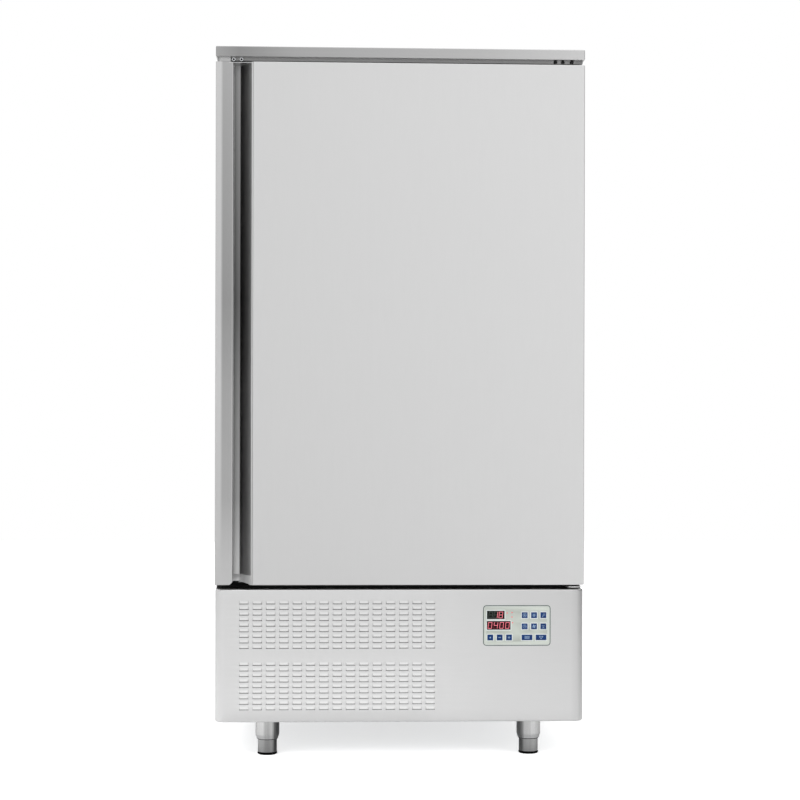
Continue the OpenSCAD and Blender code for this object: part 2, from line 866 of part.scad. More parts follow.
evap_fin_pitch = 16;
evap_tube_rows = 12;
fin_t = 2;

// Upright fins between a top and a bottom sheet
module fin_stack(low, high, pitch) {
    count = floor((high.x - low.x - fin_t) / pitch);
    first = low.x + (high.x - low.x - fin_t - count * pitch) / 2;
    for (i = [0:count]) block([first + i * pitch, low.y, low.z], [first + i * pitch + fin_t, high.y, high.z]);
    block([low.x, low.y, low.z], [high.x, high.y, low.z + fin_t]);
    block([low.x, low.y, high.z - fin_t], [high.x, high.y, high.z]);
}

// Return bends of the coil's tubes, in one row up its end plate
module coil_bends(x, y, z0, z1, count, r, bend_r) {
    for (i = [0:count - 1])
        translate([x - 0.5, y, z0 + (i + 0.5) * (z1 - z0) / count]) rotate([0, 0, -90])
            rotate_extrude(angle = 180) translate([bend_r, 0]) circle(r);
}

module evaporator_coil() {
    color("lightsteelblue") {
        fin_stack([-coil_x, coil_y0 + 6, coil_z0], [coil_x, coil_y1 - 6, coil_z1], evap_fin_pitch);
        mirrored_x() {
            block([coil_x - 1, coil_y0, coil_z0], [coil_x + 2, liner_back_y, coil_z1]);
            block([coil_x + 1, liner_back_y - 2, coil_z0], [coil_x + 20, liner_back_y, coil_z1]);
        }
        for (share = [drain_share, pipe_share])
            coil_bends(coil_x + 2, coil_y0 + share * (coil_y1 - coil_y0), coil_z0, coil_z1,
                evap_tube_rows, 5, 12);
    }
}

drip_t = 1.2;
drip_foot_x = drip_x - 40;
drip_foot_w = 16;
drain_end_z = pan_z1 + 35;

// The tray under the coil, with the drain that runs down to the machine compartment
module drip_tray() {
    foot_y0 = drip_y0 + 0.15 * (drip_y1 - drip_y0);
    foot_y1 = drip_y1 - 0.15 * (drip_y1 - drip_y0);
    color("gainsboro") difference() {
        union() {
            block([-drip_x, drip_y0, drip_z0], [drip_x, drip_y1, drip_z0 + drip_h]);
            for (x = [-drip_foot_x, drip_foot_x])
                block([x - drip_foot_w / 2, foot_y0, chamber_z0],
                    [x + drip_foot_w / 2, foot_y1, drip_z0 + 1]);
            translate([drain_x, drain_y, drain_end_z]) cylinder(r = drain_r, h = drip_z0 + 1 - drain_end_z);
        }
        difference() {
            block([-drip_x + drip_t, drip_y0 + drip_t, drip_z0 + drip_t],
                  [drip_x - drip_t, drip_y1 - drip_t, drip_z0 + drip_h + cut]);
            pipe_collar();
        }
        translate([drain_x, drain_y, drain_end_z - cut])
            cylinder(r = drain_r - 1.5, h = drip_z0 + 10 - drain_end_z);
        translate([pipe_hole_x, service_y, drip_z0 - cut]) cylinder(r = pipe_hole_r, h = drip_h + 2 * cut);
    }
}

// The collar that keeps water out of the pipe hole in the tray's floor
module pipe_collar() {
    translate([pipe_hole_x, service_y, drip_z0]) cylinder(r = pipe_hole_r + 1.5, h = drip_h);
}

// ------------------------------------------------------ refrigeration

comp_z0 = pan_z1 + 16;
comp_z1 = base_top_z - 20;
comp_wall = 7;
comp_port_z = base_z + 120;
comp_shoulder = 30;
comp_plate = [110, 80];
comp_plate_t = 7;
comp_mount_x = comp_plate.x - 18;
comp_mount_y = comp_plate.y - 18;
comp_mount_r = 14;
comp_cover_w = 56;
comp_cover_z = [comp_z0 + 70, comp_z0 + 150];

// The welded shell of a hermetic compressor, hollow, with its base plate and terminal cover
module compressor() {
    shell_z0 = comp_z0 + comp_plate_t - 1;
    color("black") translate([comp_x, comp_y, 0]) {
        rotate_extrude() difference() {
            compressor_half(comp_r, shell_z0, comp_z1, comp_shoulder);
            compressor_half(comp_r - comp_wall, shell_z0 + comp_wall, comp_z1 - comp_wall, comp_shoulder - 6);
        }
        translate([0, 0, (comp_z0 + comp_z1) / 2 + 10]) difference() {
            cylinder(r = comp_r + 5, h = 8, center = true);
            cylinder(r = comp_r - 1, h = 10, center = true);
        }
        block([-comp_plate.x, -comp_plate.y, comp_z0], [comp_plate.x, comp_plate.y, comp_z0 + comp_plate_t]);
        block([comp_r - 6, -comp_cover_w / 2, comp_cover_z[0]],
            [comp_r + 28, comp_cover_w / 2, comp_cover_z[1]]);
    }
}

// Half of the shell's outline, with a rounded shoulder at each end
module compressor_half(r, z0, z1, shoulder) {
    area([0, z0], [r - shoulder, z1]);
    area([0, z0 + shoulder], [r, z1 - shoulder]);
    for (z = [z0 + shoulder, z1 - shoulder]) translate([r - shoulder, z]) intersection() {
        circle(shoulder);
        area([0, -shoulder], [shoulder, shoulder]);
    }
}

module compressor_mounts() {
    color("dimgray") for (sx = [-1, 1], sy = [-1, 1])
        translate([comp_x + sx * comp_mount_x, comp_y + sy * comp_mount_y, pan_z1]) difference() {
            cylinder(r = comp_mount_r, h = comp_z0 - pan_z1);
            translate([0, 0, -cut]) cylinder(r = comp_mount_r - 9, h = comp_z0 - pan_z1 + 2 * cut);
        }
}

cond_y0 = body_y + 12;
cond_d = 70;
cond_y1 = cond_y0 + cond_d;
cond_z0 = pan_z1 + 21;
cond_z1 = base_top_z - 16;
cond_mid_x = (cond_x0 + cond_x1) / 2;
cond_mid_z = (cond_z0 + cond_z1) / 2;
cond_fan_r = 108;
cond_fin_pitch = 12;
cond_tube_rows = 8;

module condenser_coil() {
    color("darkgray") {
        fin_stack([cond_x0 + 2, cond_y0 + 4, cond_z0], [cond_x1 - 2, cond_y1 - 4, cond_z1], cond_fin_pitch);
        for (x = [cond_x0, cond_x1 - 3])
            block([x, cond_y0, pan_z1], [x + 3, cond_y1, cond_z1]);
        for (y = [cond_y0 + 18, cond_y1 - 18])
            coil_bends(cond_x1, y, cond_z0, cond_z1, cond_tube_rows, 4, 10);
    }
}

shroud_d = 46;

module condenser_shroud() {
    y0 = cond_y1;
    y1 = y0 + shroud_d;
    color("dimgray") difference() {
        union() {
            block([cond_x0, y0, cond_z0], [cond_x1, y1, cond_z1]);
            round_y([cond_mid_x, cond_mid_z], y1 - 1, y1 + 12, cond_fan_r + 8);
        }
        block([cond_x0 + 2, y0 - cut, cond_z0 + 2], [cond_x1 - 2, y1 - 2, cond_z1 - 2]);
        round_y([cond_mid_x, cond_mid_z], y0, y1 + 12 + cut, cond_fan_r + 5);
    }
}

cond_motor_y0 = cond_y1 + shroud_d + 22;
cond_arm_r = 3;

module condenser_fan_motor() {
    color("dimgray")
        fan_motor([cond_mid_x, cond_mid_z], cond_motor_y0, cond_motor_y0 + 62, 42, [45, 135, 225, 315],
                  cond_fan_r + 6.5, cond_arm_r, cond_y1 + shroud_d + 12);
}

module condenser_fan() {
    y1 = cond_y1 + shroud_d + 6;
    color("black") fan_rotor([cond_mid_x, cond_mid_z], y1 - 26, y1, cond_fan_r, cond_motor_y0);
}

recv_z1 = pan_z1 + recv_h;
recv_stand_h = 14;
recv_stand_r = 32;

module liquid_receiver() {
    color("black") translate([recv_x, recv_y, 0]) {
        rotate_extrude() difference() {
            compressor_half(recv_r, pan_z1 + recv_stand_h - 2, recv_z1, 18);
            compressor_half(recv_r - 3, pan_z1 + recv_stand_h + 1, recv_z1 - 3, 15);
        }
        difference() {
            translate([0, 0, pan_z1]) cylinder(r = recv_stand_r, h = recv_stand_h);
            translate([0, 0, pan_z1 - cut]) cylinder(r = recv_stand_r - 3, h = recv_stand_h);
        }
    }
}

hot_r = 5;
liquid_r = 4;
suction_r = 8;
drier_r = 15;
drier_l = 100;
hot_z = base_top_z - 24;
liquid_z = hot_z - 14;
suction_z = hot_z + 6;
condensate_z = cond_z0 + 18;
hot_x = cond_x1 + 24;
condensate_x = hot_x + 4;
cond_port_x = cond_x1 + 15.4;
cond_port_y = cond_y1 - 40;

// Discharge, condensate, liquid and suction lines, with the filter drier in the liquid line
module refrigerant_pipes() {
    color("peru") {
        pipe([[comp_x - comp_r - running, comp_y, comp_port_z],
              [hot_x, comp_y, comp_port_z], [hot_x, comp_y, hot_z],
              [hot_x, cond_port_y, hot_z], [cond_port_x, cond_port_y, hot_z]], hot_r);
        pipe([[cond_port_x, cond_port_y, condensate_z], [condensate_x, cond_port_y, condensate_z],
              [condensate_x, recv_y, condensate_z], [recv_x + recv_r, recv_y, condensate_z]], liquid_r);
        pipe([[recv_x, recv_y, recv_z1], [recv_x, recv_y, liquid_z], [recv_x, service_y, liquid_z],
              [liquid_x, service_y, liquid_z], [liquid_x, service_y, coil_z0]], liquid_r);
        rod([recv_x, recv_y + 70, liquid_z], [recv_x, recv_y + 70 + drier_l, liquid_z], drier_r);
        pipe([[suction_x, service_y, coil_z0], [suction_x, service_y, suction_z],
              [comp_x, service_y, suction_z], [comp_x, service_y, comp_port_z],
              [comp_x, comp_y + comp_r + running, comp_port_z]], suction_r);
    }
}

elec_y0 = body_y + 24;
elec_y1 = elec_y0 + elec_d;
elec_z1 = pan_z1 + elec_h;
elec_t = 1.5;

// Contactors and terminals in a folded steel box with a lid, hollow inside
module electrical_box() {
    color("gray") {
        difference() {
            block([elec_x0, elec_y0, pan_z1], [elec_x1, elec_y1, elec_z1]);
            block([elec_x0 + elec_t, elec_y0 + elec_t, pan_z1 + elec_t],
                  [elec_x1 - elec_t, elec_y1 - elec_t, elec_z1 - elec_t]);
        }
        block([elec_x0 + 20, elec_y0 + elec_t - 0.5, pan_z1 + 30],
            [elec_x1 - 20, elec_y0 + 46, pan_z1 + 110]);
    }
}

// The bush that the supply cable passes through, with its nut inside the cover
module cable_gland() {
    color("black") difference() {
        union() {
            round_y([gland_x, gland_z], rear_y - 16, rear_face_y + 1, gland_r);
            round_y([gland_x, gland_z], rear_y - 9, rear_y, gland_r + 5);
            round_y([gland_x, gland_z], rear_face_y, rear_face_y + screw_head_t, gland_r + 4);
        }
        round_y([gland_x, gland_z], rear_y - 16 - cut, back_y + cut, gland_bore_r);
    }
}

evap_tray_z1 = drain_end_z + 10;
evap_tray_t = 2;

module evaporating_tray() {
    low = [drain_x - 90, drain_y - 70, pan_z1];
    high = [drain_x + 90, drain_y + 70, evap_tray_z1];
    wall = [evap_tray_t, evap_tray_t, evap_tray_t];
    color("black") difference() {
        block(low, high);
        block(low + wall, [high.x - evap_tray_t, high.y - evap_tray_t, evap_tray_z1 + cut]);
    }
}

// ------------------------------------------------------ door

lip_x1 = -side_x + lip_w;
pocket_x1 = lip_x1 + pocket_w;
profile_x1 = pocket_x1 + 3;
grip_wall = 12;
end_fillet = 14;
plug_h = 9;

// The pocket seen from above, with its walls moved back by a sheet thickness
module pocket_void(back = 0) {
    lean = back * norm([pocket_slope, pocket_d]) / pocket_d;
    nose_r = lip_d / 2;
    difference() {
        polygon([
            [-side_x + grip_wall - back, front_y - cut],
            [-side_x + grip_wall - back, front_y + pocket_d + back],
            [pocket_x1 - pocket_slope + lean - back * pocket_slope / pocket_d, front_y + pocket_d + back],
            [pocket_x1 + lean + cut * pocket_slope / pocket_d, front_y - cut]
        ]);
        area([-side_x - cut, front_y - 2 * cut], [lip_x1 - nose_r, front_y + lip_d - back]);
        translate([lip_x1 - nose_r, front_y + nose_r]) circle(nose_r - back);
        if (back == 0) area([-side_x, front_y - 2 * cut], [lip_x1 - nose_r, front_y + nose_r]);
    }
}

// What the handle's sheet leaves inside itself, which the foam fills
module handle_core() {
    difference() {
        area([-side_x + handle_t, front_y + handle_t], [profile_x1, door_back_y]);
        pocket_void(handle_t);
    }
}

module handle_profile() {
    z_low = door_z0;
    color("silver") difference() {
        union() {
            upright(door_z0, door_z1) difference() {
                area([-side_x, front_y], [profile_x1, door_back_y]);
                pocket_void();
                handle_core();
            }
            pocket_end();
            translate([0, 0, door_z0 + door_z1]) mirror([0, 0, 1]) pocket_end();
            for (z = [door_z0, door_z1 - handle_t]) upright(z, z + handle_t) handle_core();
        }
        lip_corner(door_z0, 1);
        lip_corner(door_z1, -1);
    }
}

// The curved floor that closes the pocket's lower end, above the plug
module pocket_end() {
    y0 = front_y + plug_d + slip;
    top = door_z0 + plug_h + end_fillet;
    intersection() {
        upright(door_z0, top) pocket_void();
        difference() {
            block([-side_x, y0, door_z0], [profile_x1, front_y + pocket_d + cut, top]);
            translate([-side_x, front_y + pocket_d - end_fillet, top]) rotate([0, 90, 0])
                cylinder(r = end_fillet, h = cabinet_w);
            block([-side_x - cut, y0 - cut, door_z0 + plug_h],
                [profile_x1 + cut, front_y + pocket_d - end_fillet, top + cut]);
        }
    }
}

// Rounds the free corner of the lip at one end of the door
module lip_corner(z, way) {
    r = 8;
    slab(front_y - cut, front_y + lip_d + slip) difference() {
        area([lip_x1 - r, min(z - way * cut, z + way * r)], [lip_x1 + cut, max(z - way * cut, z + way * r)]);
        translate([lip_x1 - r, z + way * r]) circle(r);
    }
}

plug_d = 22;

// Black plugs that close the pocket's ends, the upper one with two fixing pegs
module handle_plugs() {
    color("black") {
        handle_plug();
        translate([0, 0, door_z0 + door_z1]) mirror([0, 0, 1]) handle_plug();
        for (x = [lip_x1 + 6, lip_x1 + 22])
            translate([x, front_y + 8, door_z1 - 1]) cylinder(r = 4.5, h = 6);
    }
}

module handle_plug() {
    intersection() {
        difference() {
            upright(door_z0, door_z0 + plug_h) pocket_void();
            upright(door_z0 - cut, door_z0 + plug_h + cut) pocket_walls_clearance();
        }
        slab(front_y + 1, front_y + plug_d) polygon([
            [lip_x1 - 4, door_z0], [lip_x1 + 4, door_z0 + plug_h],
            [lip_x1 + 23, door_z0 + plug_h], [pocket_x1 + 2, door_z0]
        ]);
    }
}

// A thin strip along the lip and the sloped wall, kept free around the plug
module pocket_walls_clearance() {
    area([-side_x, front_y - cut], [lip_x1 + slip, front_y + pocket_d]);
    polygon([
        [pocket_x1 - slip, front_y], [pocket_x1 - slip - pocket_slope, front_y + pocket_d],
        [pocket_x1 + 5, front_y + pocket_d], [pocket_x1 + 5, front_y]
    ]);
}

module bush_holes(r) {
    translate([hinge_x, hinge_y, 0]) {
        translate([0, 0, door_z0 - cut]) cylinder(r = r, h = pin_l + 6 + cut);
        translate([0, 0, door_z1 - pin_l - 6]) cylinder(r = r, h = pin_l + 6 + cut);
    }
}

module door_skin() {
    x0 = profile_x1 + slip;
    color("gainsboro") difference() {
        block([x0, front_y, door_z0], [side_x, door_back_y, door_z1]);
        block([x0 - cut, front_y + skin_t, door_z0 + skin_t],
              [side_x - skin_t, door_back_y + cut, door_z1 - skin_t]);
        bush_holes(bush_r + slip);
    }
}

// Outline of the raised middle of the door's inner panel
module door_raise(inset) {
    rounded_area([-chamber_x + 8 + inset, chamber_z0 + 8 + inset],
                 [chamber_x - 8 - inset, chamber_z1 - 8 - inset], 20 - inset);
}

door_raise_d = 5;

module door_liner() {
    color("silver") difference() {
        union() {
            slab(door_back_y - skin_t, door_back_y)
                area([-side_x + handle_t, door_z0 + handle_t], [side_x - skin_t, door_z1 - handle_t]);
            slab(door_back_y - skin_t, door_back_y + door_raise_d) door_raise(0);
        }
        slab(door_back_y - skin_t - cut, door_back_y + door_raise_d - skin_t) door_raise(skin_t);
    }
}

module door_foam() {
    y1 = door_back_y - skin_t;
    z0 = door_z0 + handle_t;
    z1 = door_z1 - handle_t;
    color("khaki") difference() {
        union() {
            block([profile_x1, front_y + skin_t, z0], [side_x - skin_t, y1, z1]);
            upright(z0, z1) intersection() {
                handle_core();
                area([-side_x, front_y], [profile_x1 + cut, y1]);
            }
            slab(y1 - cut, door_back_y + door_raise_d - skin_t) door_raise(skin_t + foam_gap);
        }
        bush_holes(bush_r + slip);
    }
}

module door_gasket() {
    out = 10 + gasket_w;
    color("dimgray") slab(door_back_y, frame_y - slip) difference() {
        area([-chamber_x - out, chamber_z0 - out], [chamber_x + out, chamber_z1 + out]);
        area([-chamber_x - 10, chamber_z0 - 10], [chamber_x + 10, chamber_z1 + 10]);
    }
}

module door_bushes() {
    color("black") difference() {
        translate([hinge_x, hinge_y, 0]) {
            translate([0, 0, door_z0]) cylinder(r = bush_r, h = pin_l + 4);
            translate([0, 0, foot_z1 + slip]) cylinder(r = bush_r + 3, h = door_z0 - foot_z1 - slip);
            translate([0, 0, door_z1 - pin_l - 4]) cylinder(r = bush_r, h = pin_l + 4);
            translate([0, 0, door_z1]) cylinder(r = bush_r + 3, h = bush_flange);
        }
        translate([hinge_x, hinge_y, 0]) {
            translate([0, 0, foot_z1]) cylinder(r = hinge_pin_r + running, h = door_z0 - foot_z1 + pin_l + 1);
            translate([0, 0, door_z1 - pin_l - 1])
                cylinder(r = hinge_pin_r + running, h = pin_l + 1 + 2 * bush_flange);
        }
    }
}

// ------------------------------------------------------ assembly

side_panel(-1);  // side_panel_left
side_panel(1);  // side_panel_right
rear_panel();
rear_grille();
top_cap();
front_frame();
inner_liner();
cabinet_foam();
deck_plate();
base_pan();
corner_posts();
front_panel();
control_bezel();
control_overlay();
display_windows();
control_board();
leg_sleeves();
hinge_brackets();
panel_screws();
tray_racks();
fan_panel();
evap_fan_motors();
fan_guards();
evaporator_coil();
drip_tray();
compressor();
compressor_mounts();
condenser_coil();
condenser_shroud();
condenser_fan_motor();
liquid_receiver();
refrigerant_pipes();
electrical_box();
cable_gland();
evaporating_tray();
door_skin();
door_liner();
door_foam();
handle_profile();
handle_plugs();
door_gasket();
door_bushes();
evap_fan(fan_zs[1]);  // evap_fan_upper
evap_fan(fan_zs[0]);  // evap_fan_lower
condenser_fan();
foot(-1, -1);  // foot_front_left
foot(1, -1);  // foot_front_right
foot(-1, 1);  // foot_rear_left
foot(1, 1);  // foot_rear_right
key("key_set");  // key_set
key("key_minus");  // key_minus
key("key_plus");  // key_plus
key("key_chill");  // key_chill
key("key_freeze");  // key_freeze
key("key_probe");  // key_probe
key("key_timer");  // key_timer
key("key_fan");  // key_fan
key("key_defrost");  // key_defrost
key("key_cycle");  // key_cycle
key("key_start");  // key_start
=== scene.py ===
import json
import math
import bpy
import bmesh
from mathutils import Matrix, Vector

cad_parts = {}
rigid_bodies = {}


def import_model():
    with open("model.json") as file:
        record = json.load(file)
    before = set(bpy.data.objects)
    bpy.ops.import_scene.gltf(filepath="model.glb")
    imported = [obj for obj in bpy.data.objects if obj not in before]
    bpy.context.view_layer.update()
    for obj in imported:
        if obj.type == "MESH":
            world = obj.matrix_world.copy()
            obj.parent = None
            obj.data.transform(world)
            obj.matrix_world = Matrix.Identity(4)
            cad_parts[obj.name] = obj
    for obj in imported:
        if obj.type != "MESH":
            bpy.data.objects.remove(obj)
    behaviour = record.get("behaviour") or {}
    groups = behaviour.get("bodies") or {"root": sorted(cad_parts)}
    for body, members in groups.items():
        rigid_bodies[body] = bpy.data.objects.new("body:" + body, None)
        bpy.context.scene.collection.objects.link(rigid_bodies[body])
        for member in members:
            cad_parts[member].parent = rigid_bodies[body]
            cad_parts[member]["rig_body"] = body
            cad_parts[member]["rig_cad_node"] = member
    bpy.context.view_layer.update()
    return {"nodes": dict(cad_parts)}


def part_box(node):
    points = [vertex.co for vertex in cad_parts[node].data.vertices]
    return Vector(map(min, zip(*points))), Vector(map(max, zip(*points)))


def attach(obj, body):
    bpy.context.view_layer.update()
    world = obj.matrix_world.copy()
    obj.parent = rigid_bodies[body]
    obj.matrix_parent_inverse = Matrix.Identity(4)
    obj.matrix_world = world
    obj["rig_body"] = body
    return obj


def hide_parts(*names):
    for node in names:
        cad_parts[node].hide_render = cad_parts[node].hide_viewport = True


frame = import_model()

# what a new Blender file starts with isn't wanted
for name in ("Cube", "Light", "Camera"):
    if name in bpy.data.objects:
        bpy.data.objects.remove(bpy.data.objects[name])

# pieces are shaped in millimetres and brought to metres when they are finished
mm = 0.001


# ---- modelling

def makeActive(piece):
    clearChoice()
    piece.select_set(True)
    bpy.context.view_layer.objects.active = piece


def boxOf(node):
    low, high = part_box(node)
    return Vector(low) / mm, Vector(high) / mm


def bakePlace(piece):
    makeActive(piece)
    bpy.ops.object.transform_apply(location=True, rotation=True, scale=True)


def nameNew(name):
    piece = bpy.context.object
    piece.name = name
    piece.data.name = name
    return piece


def addBlock(name, low, high):
    clearChoice()
    low, high = Vector(low), Vector(high)
    bpy.ops.mesh.primitive_cube_add(size=1, location=(low + high) / 2)
    piece = nameNew(name)
    piece.scale = high - low
    bakePlace(piece)
    return piece


# a flat sheet in X and Z, facing the front, at one Y
def addSheet(name, low, high, y):
    clearChoice()
    middle = ((low[0] + high[0]) / 2, y, (low[1] + high[1]) / 2)
    bpy.ops.mesh.primitive_plane_add(size=1, location=middle, rotation=(math.pi / 2, 0, 0))
    piece = nameNew(name)
    piece.scale = (high[0] - low[0], high[1] - low[1], 1)
    bakePlace(piece)
    return piece


def edit(piece):
    makeActive(piece)
    bpy.ops.object.mode_set(mode="EDIT")


def leave():
    bpy.ops.object.mode_set(mode="OBJECT")


# selects, in edit mode, the points, edges or faces that pass a test
def pick(piece, kind, test):
    bpy.ops.mesh.select_mode(type=kind)
    bpy.ops.mesh.select_all(action="DESELECT")
    mesh = bmesh.from_edit_mesh(piece.data)
    parts = {"VERT": mesh.verts, "EDGE": mesh.edges, "FACE": mesh.faces}[kind]
    count = 0
    for part in parts:
        if test(part):
            part.select_set(True)
            count += 1
    mesh.select_flush_mode()
    bmesh.update_edit_mesh(piece.data)
    return count


def lies(part, axis, value, slack=0.01):
    corners = [part] if isinstance(part, bmesh.types.BMVert) else part.verts
    return all(abs(corner.co[axis] - value) < slack for corner in corners)


# a test for pick: all corners at this place on an axis
def on(axis, value):
    return lambda part: lies(part, axis, value)


def along(edge, axis):
    way = edge.verts[1].co - edge.verts[0].co
    return abs(way[axis]) > 0.99 * way.length


def isFold(edge, least=0.3):
    return len(edge.link_faces) == 2 and edge.calc_face_angle(0) > least


def selectAll():
    bpy.ops.mesh.select_all(action="SELECT")


def clearChoice():
    bpy.ops.object.select_all(action="DESELECT")


# takes away, in edit mode, the faces that pass a test
def dropFaces(piece, test):
    count = pick(piece, "FACE", test)
    bpy.ops.mesh.delete(type="FACE")
    return count


def bevelEdges(piece, test, offset, segments):
    pick(piece, "EDGE", test)
    bpy.ops.mesh.bevel(offset=offset, segments=segments)


def inset(width):
    bpy.ops.mesh.inset(thickness=width, depth=0)


def move(step):
    bpy.ops.transform.translate(value=step)


def extrude(step):
    bpy.ops.mesh.extrude_region_move(TRANSFORM_OT_translate={"value": step})


def outward():
    selectAll()
    bpy.ops.mesh.remove_doubles(threshold=0.005)
    bpy.ops.mesh.normals_make_consistent(inside=False)


def applyModifier(piece, kind, **settings):
    makeActive(piece)
    modifier = piece.modifiers.new(kind.lower(), kind)
    for key, value in settings.items():
        setattr(modifier, key, value)
    bpy.ops.object.modifier_apply(modifier=modifier.name)
    return piece


def roundEdges(piece, width, segments=2, angle=30):
    return applyModifier(piece, "BEVEL", width=width, segments=segments, limit_method="ANGLE",
            angle_limit=math.radians(angle), use_clamp_overlap=True)


def thicken(piece, thickness, offset=-1):
    return applyModifier(piece, "SOLIDIFY", thickness=thickness, offset=offset, use_even_offset=True)


def cutWith(piece, cutter):
    applyModifier(piece, "BOOLEAN", operation="DIFFERENCE", object=cutter, solver="EXACT")
    bpy.data.objects.remove(cutter)
    return piece


def copyPiece(piece, name, step=(0, 0, 0), turn=None):
    makeActive(piece)
    bpy.ops.object.duplicate()
    other = nameNew(name)
    if turn:
        other.rotation_euler = turn
    other.location = step
    bakePlace(other)
    return other


def join(name, pieces):
    clearChoice()
    for piece in pieces:
        piece.select_set(True)
    bpy.context.view_layer.objects.active = pieces[0]
    if len(pieces) > 1:
        bpy.ops.object.join()
    return nameNew(name)


# a line through these corners, each with its own step from the one before
def bentLine(name, corners):
    clearChoice()
    bpy.ops.mesh.primitive_plane_add(size=1)
    piece = nameNew(name)
    edit(piece)
    bpy.ops.mesh.select_mode(type="VERT")
    selectAll()
    bpy.ops.mesh.merge(type="CENTER")
    move(corners[0])
    for last, corner in zip(corners, corners[1:]):
        extrude(Vector(corner) - Vector(last))
    return piece


# a profile of (radius, height) turned about Z, then laid along Y if asked
def turnPiece(name, centre, profile, steps=40, alongY=False):
    piece = bentLine(name, [(radius, 0, height) for radius, height in profile])
    selectAll()
    bpy.ops.mesh.spin(steps=steps, angle=2 * math.pi, center=(0, 0, 0), axis=(0, 0, 1))
    outward()
    leave()
    if alongY:
        piece.rotation_euler = (-math.pi / 2, 0, 0)
    piece.location = centre
    bakePlace(piece)
    return piece


# a CAD node's own shape as a new piece, with its flat faces made whole again
def nodeCopy(node, name):
    makeActive(frame["nodes"][node])
    bpy.ops.object.duplicate()
    piece = nameNew(name)
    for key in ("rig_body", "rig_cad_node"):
        if key in piece:
            del piece[key]
    bpy.ops.object.parent_clear(type="CLEAR_KEEP_TRANSFORM")
    piece.scale = (1 / mm, 1 / mm, 1 / mm)
    bakePlace(piece)
    edit(piece)
    selectAll()
    bpy.ops.mesh.remove_doubles(threshold=0.002)
    bpy.ops.mesh.dissolve_limited(angle_limit=math.radians(0.1))
    leave()
    return piece


def finishPiece(piece, material, body, slot, *nodes, angle=35):
    piece.scale = (mm, mm, mm)
    bakePlace(piece)
    piece.data.materials.clear()
    piece.data.materials.append(material)
    bpy.ops.object.shade_smooth_by_angle(angle=math.radians(angle))
    # the large faces keep their own direction, so that sheets look flat up to their folds
    applyModifier(piece, "WEIGHTED_NORMAL", keep_sharp=True)
    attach(piece, body)
    if nodes:
        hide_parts(*nodes)
    return piece


def dressNode(node, material):
    piece = frame["nodes"][node]
    for place in piece.material_slots:
        place.material = material


# ---- materials

# a colour is six sRGB hex digits, or two for a grey
def linear(colour):
    digits = colour[1:] * (3 if len(colour) == 3 else 1)
    parts = [int(digits[i:i + 2], 16) / 255 for i in (0, 2, 4)]
    return tuple(p / 12.92 if p <= 0.04045 else ((p + 0.055) / 1.055) ** 2.4 for p in parts) + (1,)


# adds one shader node; a link's source is a node, or a pair of node and output
def addNode(material, kind, settings={}, links={}):
    tree = material.node_tree
    node = tree.nodes.new("ShaderNode" + kind)
    for key, value in settings.items():
        if isinstance(key, str) and hasattr(node, key):
            setattr(node, key, value)
        else:
            node.inputs[key].default_value = value
    for key, source in links.items():
        source, output = source if isinstance(source, tuple) else (source, 0)
        tree.links.new(source.outputs[output], node.inputs[key])
    return node


# an empty material, and its object coordinates as a source for links
def newMaterial(name):
    material = bpy.data.materials.new(name)
    material.use_nodes = True
    material.node_tree.nodes.clear()
    return material, (addNode(material, "TexCoord"), "Object")


# a band of colours along a value; stops are pairs of place and colour
def addBand(material, value, *stops):
    ramp = addNode(material, "ValToRGB", {}, {"Fac": value})
    band = ramp.color_ramp
    while len(band.elements) < len(stops):
        band.elements.new(0.5)
    for element, (place, colour) in zip(band.elements, stops):
        element.position = place
        element.color = linear(colour)
    return ramp


# noise whose grains are about this many millimetres across
def addNoise(material, place, size, detail):
    return addNode(material, "TexNoise", {"Scale": 1000 / size, "Detail": detail}, {"Vector": place})


def addMix(material, share, first, second):
    return addNode(material, "Mix", {"data_type": "FLOAT", "Factor": share}, {"A": first, "B": second})


# stretches a value that runs from start to end so that it runs from low to high
def addRange(material, value, low, high, start=0, end=1):
    return addNode(material, "MapRange", {"From Min": start, "From Max": end, "To Min": low, "To Max": high},
            {"Value": value})


# the surface: its fixed settings, what is linked into it, and the texture that roughens it
def closeMaterial(material, settings, links, height=None, strength=0, distance=0.0002):
    if height:
        links["Normal"] = addNode(material, "Bump", {"Strength": strength, "Distance": distance},
                {"Height": height})
    shader = addNode(material, "BsdfPrincipled", settings, links)
    addNode(material, "OutputMaterial", {}, {"Surface": shader})
    return material


# Painted reflection and painted shade: the colour is made darker or lighter in steps along an axis,
# standing in for the light a surface would mirror and the shade it would lie in. Tones are given at
# places in mm along an axis; a second pair of axis and tones fades them in and out.
def paintedShadeAlong(material, place, colour, axis, tones, fade=None):
    parts = addNode(material, "SeparateXYZ", {}, {"Vector": place})

    def addTones(axis, tones):
        low, high = min(tones), max(tones)
        reach = addRange(material, (parts, "XYZ".index(axis)), 0, 1, low * mm, high * mm)
        return addBand(material, reach, *[((at - low) / (high - low), tone) for at, tone in tones.items()])

    mix = addNode(material, "Mix", {"data_type": "RGBA", "blend_type": "MULTIPLY", 0: 1.0},
            {6: colour, 7: addTones(axis, tones)})
    if fade:
        material.node_tree.links.new(addTones(*fade).outputs[0], mix.inputs[0])
    return mix, 2


